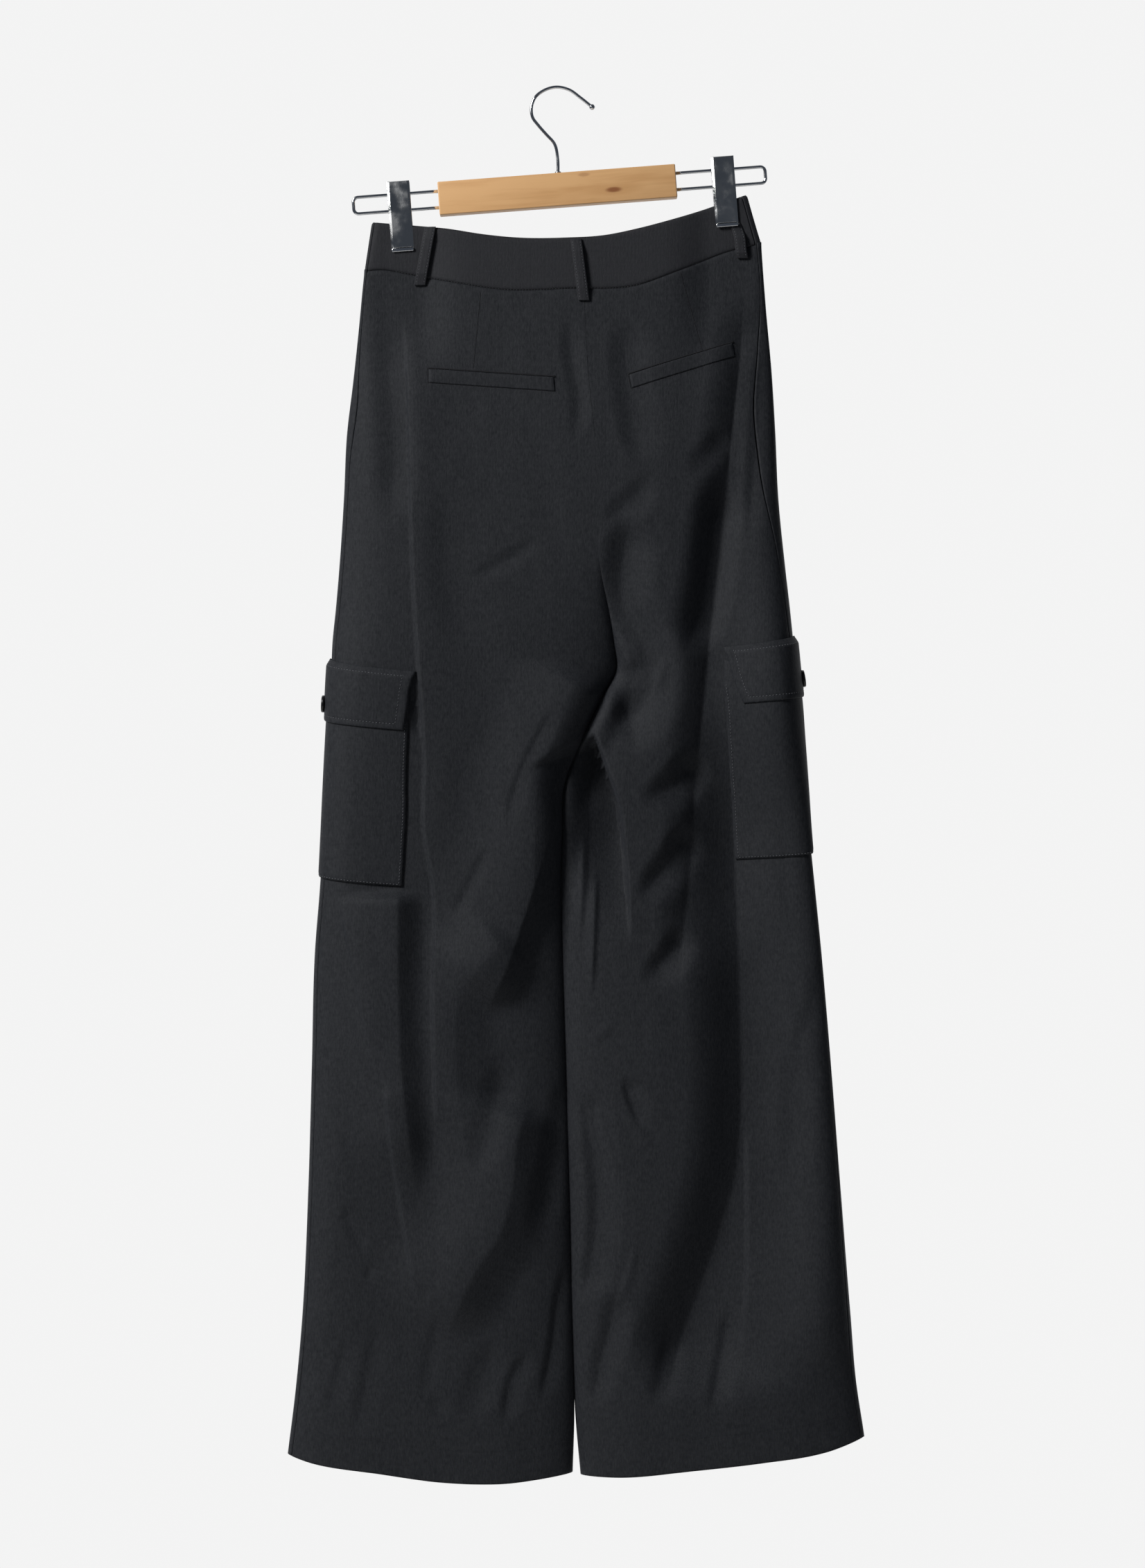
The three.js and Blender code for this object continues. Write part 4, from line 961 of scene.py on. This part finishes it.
def chrome_material(name, colour, smooth, scuffed, speckle, grain=700):
    """Bright plating: a fine speckle in the polish and a slow cloud of wear."""
    material, tree, shader = node_material(name)
    place = place_on(tree)
    fine = add_node(tree, "TexNoise", {"Vector": place, "Scale": grain, "Detail": 4})["Fac"]
    cloud = add_node(tree, "TexNoise", {"Vector": place, "Scale": 90})["Fac"]
    polish = add_node(tree, "MapRange", {"Value": cloud, "From Min": 0.35, "From Max": 0.7,
                                         "To Min": smooth, "To Max": scuffed})["Result"]
    raise_grain(tree, shader, fine, speckle, 0.0002)
    feed(tree, shader, {"Roughness": polish, "Base Color": (*colour, 1), "Metallic": 1})
    return material


WIRE_SIDES = 18


def wire_tube(name, node, line, wire):
    """A round wire along a line of points in one upright plane, its ends closed."""
    ahead = np.gradient(line, axis=0)
    ahead /= np.linalg.norm(ahead, axis=1, keepdims=True)
    over = np.array([0.0, 1.0, 0.0])
    beside = np.cross(ahead, over)
    turns = np.linspace(0, 2 * np.pi, WIRE_SIDES, endpoint=False)
    rings = line[:, None] + wire / 2 * (beside[:, None] * np.cos(turns)[:, None]
                                        + over * np.sin(turns)[:, None])
    make_object(name, rings, tube_faces(len(line), WIRE_SIDES), plating, node)


plating = chrome_material("chrome wire", (0.72, 0.73, 0.74), 0.08, 0.22, 0.05)
hook_line, _ = smooth_path(HOOK_LINE, 160)
hook_line = np.stack([hook_line[:, 0], np.zeros(len(hook_line)), hook_line[:, 1]], -1)
wire_tube("hook_wire", "hook", hook_line, HOOK_WIRE)
ball_turn = np.linspace(0.02, np.pi - 0.02, 14)
turned_piece("hook_ball", [(HOOK_BALL * math.sin(a), -HOOK_BALL * math.cos(a)) for a in ball_turn],
             hook_line[-1], (1, 0, -0.8), plating, None, 24)
COLLAR = [(1.5, 0.0), (2.7, 0.1), (3.0, 0.6), (2.8, 1.3), (2.1, 1.9), (1.5, 2.0)]
turned_piece("hook_collar", COLLAR, hook_line[0] - np.array([0, 0, 0.3]), (0, 0, 1),
             plating, None, 28)

# ------------------------------------------------------------------ wood block
# A planed and lacquered bar of light softwood with its arrises eased. The grain runs along
# it and there is one small brown knot, right of the middle.
HANGER_TILT, HANGER_CENTRE = math.radians(4.33), (0.7, -89.0)
BLOCK_LENGTH, BLOCK_HEIGHT, BLOCK_THICK, BLOCK_EASE = 208, 29, 13, 1.0
KNOT, KNOT_SIZE = (49, -4), (7.0, 2.4)      # along the bar and up it, then its half sizes
KNOT_HALO_SIZE = (KNOT_SIZE[0] * 4, KNOT_SIZE[1] * 2.2)
STAIN, STAIN_SIZE = (24, 11), (6, 2)
PLANED, GRAIN, KNOT_BROWN = (0.80, 0.47, 0.215), (0.62, 0.32, 0.125), (0.27, 0.085, 0.03)


def hung(along, up, depth=0.0):
    """A point of the tilted hanger, from its place along the rail and square to it."""
    tilt = HANGER_TILT
    return np.stack(np.broadcast_arrays(
        HANGER_CENTRE[0] + along * np.cos(tilt) - up * np.sin(tilt), depth,
        HANGER_CENTRE[1] + along * np.sin(tilt) + up * np.cos(tilt)), -1).astype(float)


def eased_box(name, along, up, depth, size, ease_size, material, node, border=0.0):
    """A box of the hanger with rounded edges. Its outer face stands inside a sloping border."""
    half = np.array(size) / 2
    form = bmesh.new()
    bmesh.ops.create_cube(form, size=2)
    for vertex in form.verts:
        drawn_in = border if vertex.co.y < 0 else 0
        vertex.co = vertex.co * Vector((half[0] - drawn_in, half[1], half[2] - drawn_in * 0.4))
    bmesh.ops.bevel(form, geom=form.edges[:], offset=ease_size, segments=4, profile=0.5,
                    affect="EDGES")
    form.verts.ensure_lookup_table()
    local = np.array([tuple(v.co) for v in form.verts])
    faces = [[v.index for v in face.verts] for face in form.faces]
    form.free()
    points = hung(along + local[:, 0], up + local[:, 2], depth + local[:, 1])
    piece = make_object(name, points, faces, material, node)
    piece.data.set_sharp_from_angle(angle=math.radians(40))


def wood_material():
    """Pale lacquered softwood: long grain, a slow change of tone, one knot and a stain."""
    material, tree, shader = node_material("lacquered softwood")
    along_bar = add_node(tree, "Mapping", {
        "Vector": place_on(tree), "Rotation": (0, -HANGER_TILT, 0),
        "Location": (HANGER_CENTRE[0] * MM, 0, HANGER_CENTRE[1] * MM),
    }, vector_type="TEXTURE")["Vector"]

    def ramp(value, low, high, start, end):
        return add_node(tree, "MapRange", {
            "Value": value, "From Min": low, "From Max": high, "To Min": start, "To Max": end,
        }, interpolation_type="SMOOTHSTEP")["Result"]

    def spot(centre, size, edge):
        """1 in the middle of an oval spot, 0 outside it."""
        oval = add_node(tree, "Mapping", {
            "Vector": along_bar, "Location": (centre[0] * MM, 0, centre[1] * MM),
            "Scale": (size[0] * MM, 1, size[1] * MM)}, vector_type="TEXTURE")["Vector"]
        away = add_node(tree, "VectorMath", {0: oval}, operation="LENGTH")["Value"]
        return ramp(away, 0.3, edge, 1, 0)

    def noise(scale, size, detail):
        stretch = add_node(tree, "Mapping", {"Vector": along_bar, "Scale": size})["Vector"]
        return add_node(tree, "TexNoise", {"Vector": stretch, "Scale": scale, "Detail": detail,
                                           "Distortion": 0.4})["Fac"]

    def blend(factor, first, second):
        return add_node(tree, "Mix", {0: factor, 6: first, 7: second}, data_type="RGBA")[2]

    def stained(tone, centre, size, edge, strength, colour):
        return blend(ramp(spot(centre, size, edge), 0, 1, 0, strength), tone, (*colour, 1))

    long_grain = noise(130, (0.09, 0.5, 1.0), 6)
    slow = noise(22, (0.3, 1, 1.0), 3)
    tone = blend(ramp(long_grain, 0.42, 0.7, 0, 0.6), (*PLANED, 1), (*GRAIN, 1))
    tone = blend(ramp(slow, 0.45, 0.75, 0, 0.35), tone, (*GRAIN, 1))
    tone = stained(tone, KNOT, KNOT_HALO_SIZE, 1.4, 0.45, GRAIN)
    tone = stained(tone, STAIN, STAIN_SIZE, 1.3, 0.35, KNOT_BROWN)
    tone = stained(tone, KNOT, KNOT_SIZE, 1.5, 0.85, KNOT_BROWN)
    raise_grain(tree, shader, long_grain, 0.12, 0.0002)
    feed(tree, shader, {"Base Color": tone, "Roughness": 0.42, "Specular IOR Level": 0.4})
    return material


eased_box("wood_bar", 0, 0, 0, (BLOCK_LENGTH, BLOCK_THICK, BLOCK_HEIGHT), BLOCK_EASE,
          wood_material(), "wood_block")

# ------------------------------------------------------------------ rails
# One chrome wire at each end of the block. It leaves the block, turns two tight corners
# and comes back into it, so that the clip slides on two wires.
RAIL_END = {-1: -180.2, 1: 183.8}
RAIL_SPREAD, RAIL_WIRE, RAIL_CORNER = 14.4, 3.0, 4.2

for side, end in RAIL_END.items():
    start = side * (BLOCK_LENGTH / 2 + SEAM_GAP)
    outer_x = end - side * RAIL_WIRE / 2
    arm = RAIL_SPREAD / 2
    corner_x = outer_x - side * RAIL_CORNER
    quarter = np.linspace(0, np.pi / 2, 10)
    bends = [(corner_x + side * RAIL_CORNER * np.sin(turn),
              arm - RAIL_CORNER + RAIL_CORNER * np.cos(turn)) for turn in quarter]
    upper = [(start + (corner_x - start) * t, arm) for t in np.linspace(0, 1, 12)[:-1]]
    half = np.array(upper + bends)
    line = np.concatenate([half, half[::-1] * (1, -1)])
    wire_tube(f"rail_wire_{SIDES[side]}", f"rail_{SIDES[side]}", hung(line[:, 0], line[:, 1]),
              RAIL_WIRE)

# ------------------------------------------------------------------ clips
# Two pressed chrome plates a clip, sprung over the rail, with rounded edges, a scuffed flat
# face and a folded lip at the jaw. A bridge rides on the upper wire and a pin lies under the
# lower one.
CLIP_ALONG, CLIP_CENTRE = (-138.5, 145.5), -12.6
CLIP_WIDTH, CLIP_HEIGHT, CLIP_SHEET, CLIP_EDGE = 20, 62, 1.2, 0.3
CLIP_BORDER = 2.1                # width of the sloping bright border beside the flat face
LIP_HEIGHT, LIP_DEPTH = 3.0, 2.2
BRIDGE, PIVOT = 7.0, 3.2
CLIP_BACK = {-1: 2.65, 1: 4.35}  # the right clip takes the belt loop under its back plate
CLIP_FRONT = 2.65

scuffed = chrome_material("scuffed chrome", (0.66, 0.66, 0.65), 0.07, 0.38, 0.55, 1100)
bright = chrome_material("bright chrome", (0.78, 0.79, 0.81), 0.08, 0.18, 0.06)

for side, along in zip((-1, 1), CLIP_ALONG):
    name = SIDES[side]
    back, front = CLIP_BACK[side], CLIP_FRONT
    face_middle = CLIP_CENTRE + LIP_HEIGHT / 2
    face_size = (CLIP_WIDTH, CLIP_SHEET, CLIP_HEIGHT - LIP_HEIGHT)
    eased_box(f"clip_plate_{name}", along, face_middle, -(back + CLIP_SHEET / 2), face_size,
              CLIP_EDGE, scuffed, f"clip_{name}_outer", CLIP_BORDER)
    eased_box(f"clip_lip_{name}", along, CLIP_CENTRE - CLIP_HEIGHT / 2 + LIP_HEIGHT / 2,
              -(back + LIP_DEPTH / 2), (CLIP_WIDTH - 0.6, LIP_DEPTH, LIP_HEIGHT), 0.9,
              bright, None)
    eased_box(f"clip_inner_{name}", along, CLIP_CENTRE, front + CLIP_SHEET / 2,
              (CLIP_WIDTH, CLIP_SHEET, CLIP_HEIGHT), 0.5, scuffed, f"clip_{name}_inner")
    room = back + front - 2 * SEAM_GAP
    between = (front - back) / 2
    wire_top = RAIL_SPREAD / 2 + RAIL_WIRE / 2 + SEAM_GAP
    eased_box(f"clip_bridge_{name}", along, wire_top + BRIDGE / 2, between,
              (CLIP_WIDTH - 5, room, BRIDGE), 0.5, bright, f"clip_{name}_bridge")
    pin_half = (CLIP_WIDTH - 3) / 2
    pin_spot = hung(along - pin_half, -wire_top - PIVOT / 2, between)
    pin_end = hung(along + pin_half, -wire_top - PIVOT / 2, between)
    pin_profile = [(0.9, 0), (PIVOT / 2, 0.5), (PIVOT / 2, 2 * pin_half - 0.5),
                   (0.9, 2 * pin_half)]
    turned_piece(f"clip_pin_{name}", pin_profile, pin_spot, pin_end - pin_spot,
                 bright, f"clip_{name}_pivot", 24)

# ------------------------------------------------------------------ floor and light
# A pale floor well below the hanging hem, one soft light near by at the upper left, and a
# room with a pale wall behind the garment that is dark and a little bluish on the other side.
floor_mesh = bpy.data.meshes.new("floor")
FLOOR_HALF, FLOOR_LEVEL = 2.2, -1.95
corners = [(x * FLOOR_HALF, y * FLOOR_HALF, FLOOR_LEVEL)
           for x, y in ((-1, -1), (1, -1), (1, 1), (-1, 1))]
floor_mesh.from_pydata(corners, [], [(0, 1, 2, 3)])
floor = bpy.data.objects.new("floor", floor_mesh)
bpy.context.scene.collection.objects.link(floor)
paint, paint_tree, floor_shader = node_material("pale floor")
feed(paint_tree, floor_shader, {"Base Color": (0.8, 0.79, 0.77, 1), "Roughness": 0.8})
floor_mesh.materials.append(paint)

window = bpy.data.lights.new("window", "AREA")
window.shape = "RECTANGLE"
window.size, window.size_y = 1.0, 1.3
window.energy = 136
light = bpy.data.objects.new("window", window)
bpy.context.scene.collection.objects.link(light)
light.location = (-2.5, -2.0, 1.4)
light_aim = Vector((0, 0, -0.45)) - light.location
light.rotation_euler = light_aim.to_track_quat("-Z", "Y").to_euler()
bpy.context.scene.view_settings.view_transform = "Standard"

world = bpy.data.worlds.new("pale room")
bpy.context.scene.world = world
world.use_nodes = True
sky = world.node_tree
round_room = add_node(sky, "TexCoord", {})["Generated"]
depth = add_node(sky, "SeparateXYZ", {"Vector": round_room})["Y"]
DARK_SIDE, PALE_WALL = (0.052, 0.060, 0.074), (0.9, 0.9, 0.9)
feed(sky, sky.nodes["Background"], {"Color": two_tones(sky, depth, DARK_SIDE, PALE_WALL,
                                                       (0.2, 0.8))})
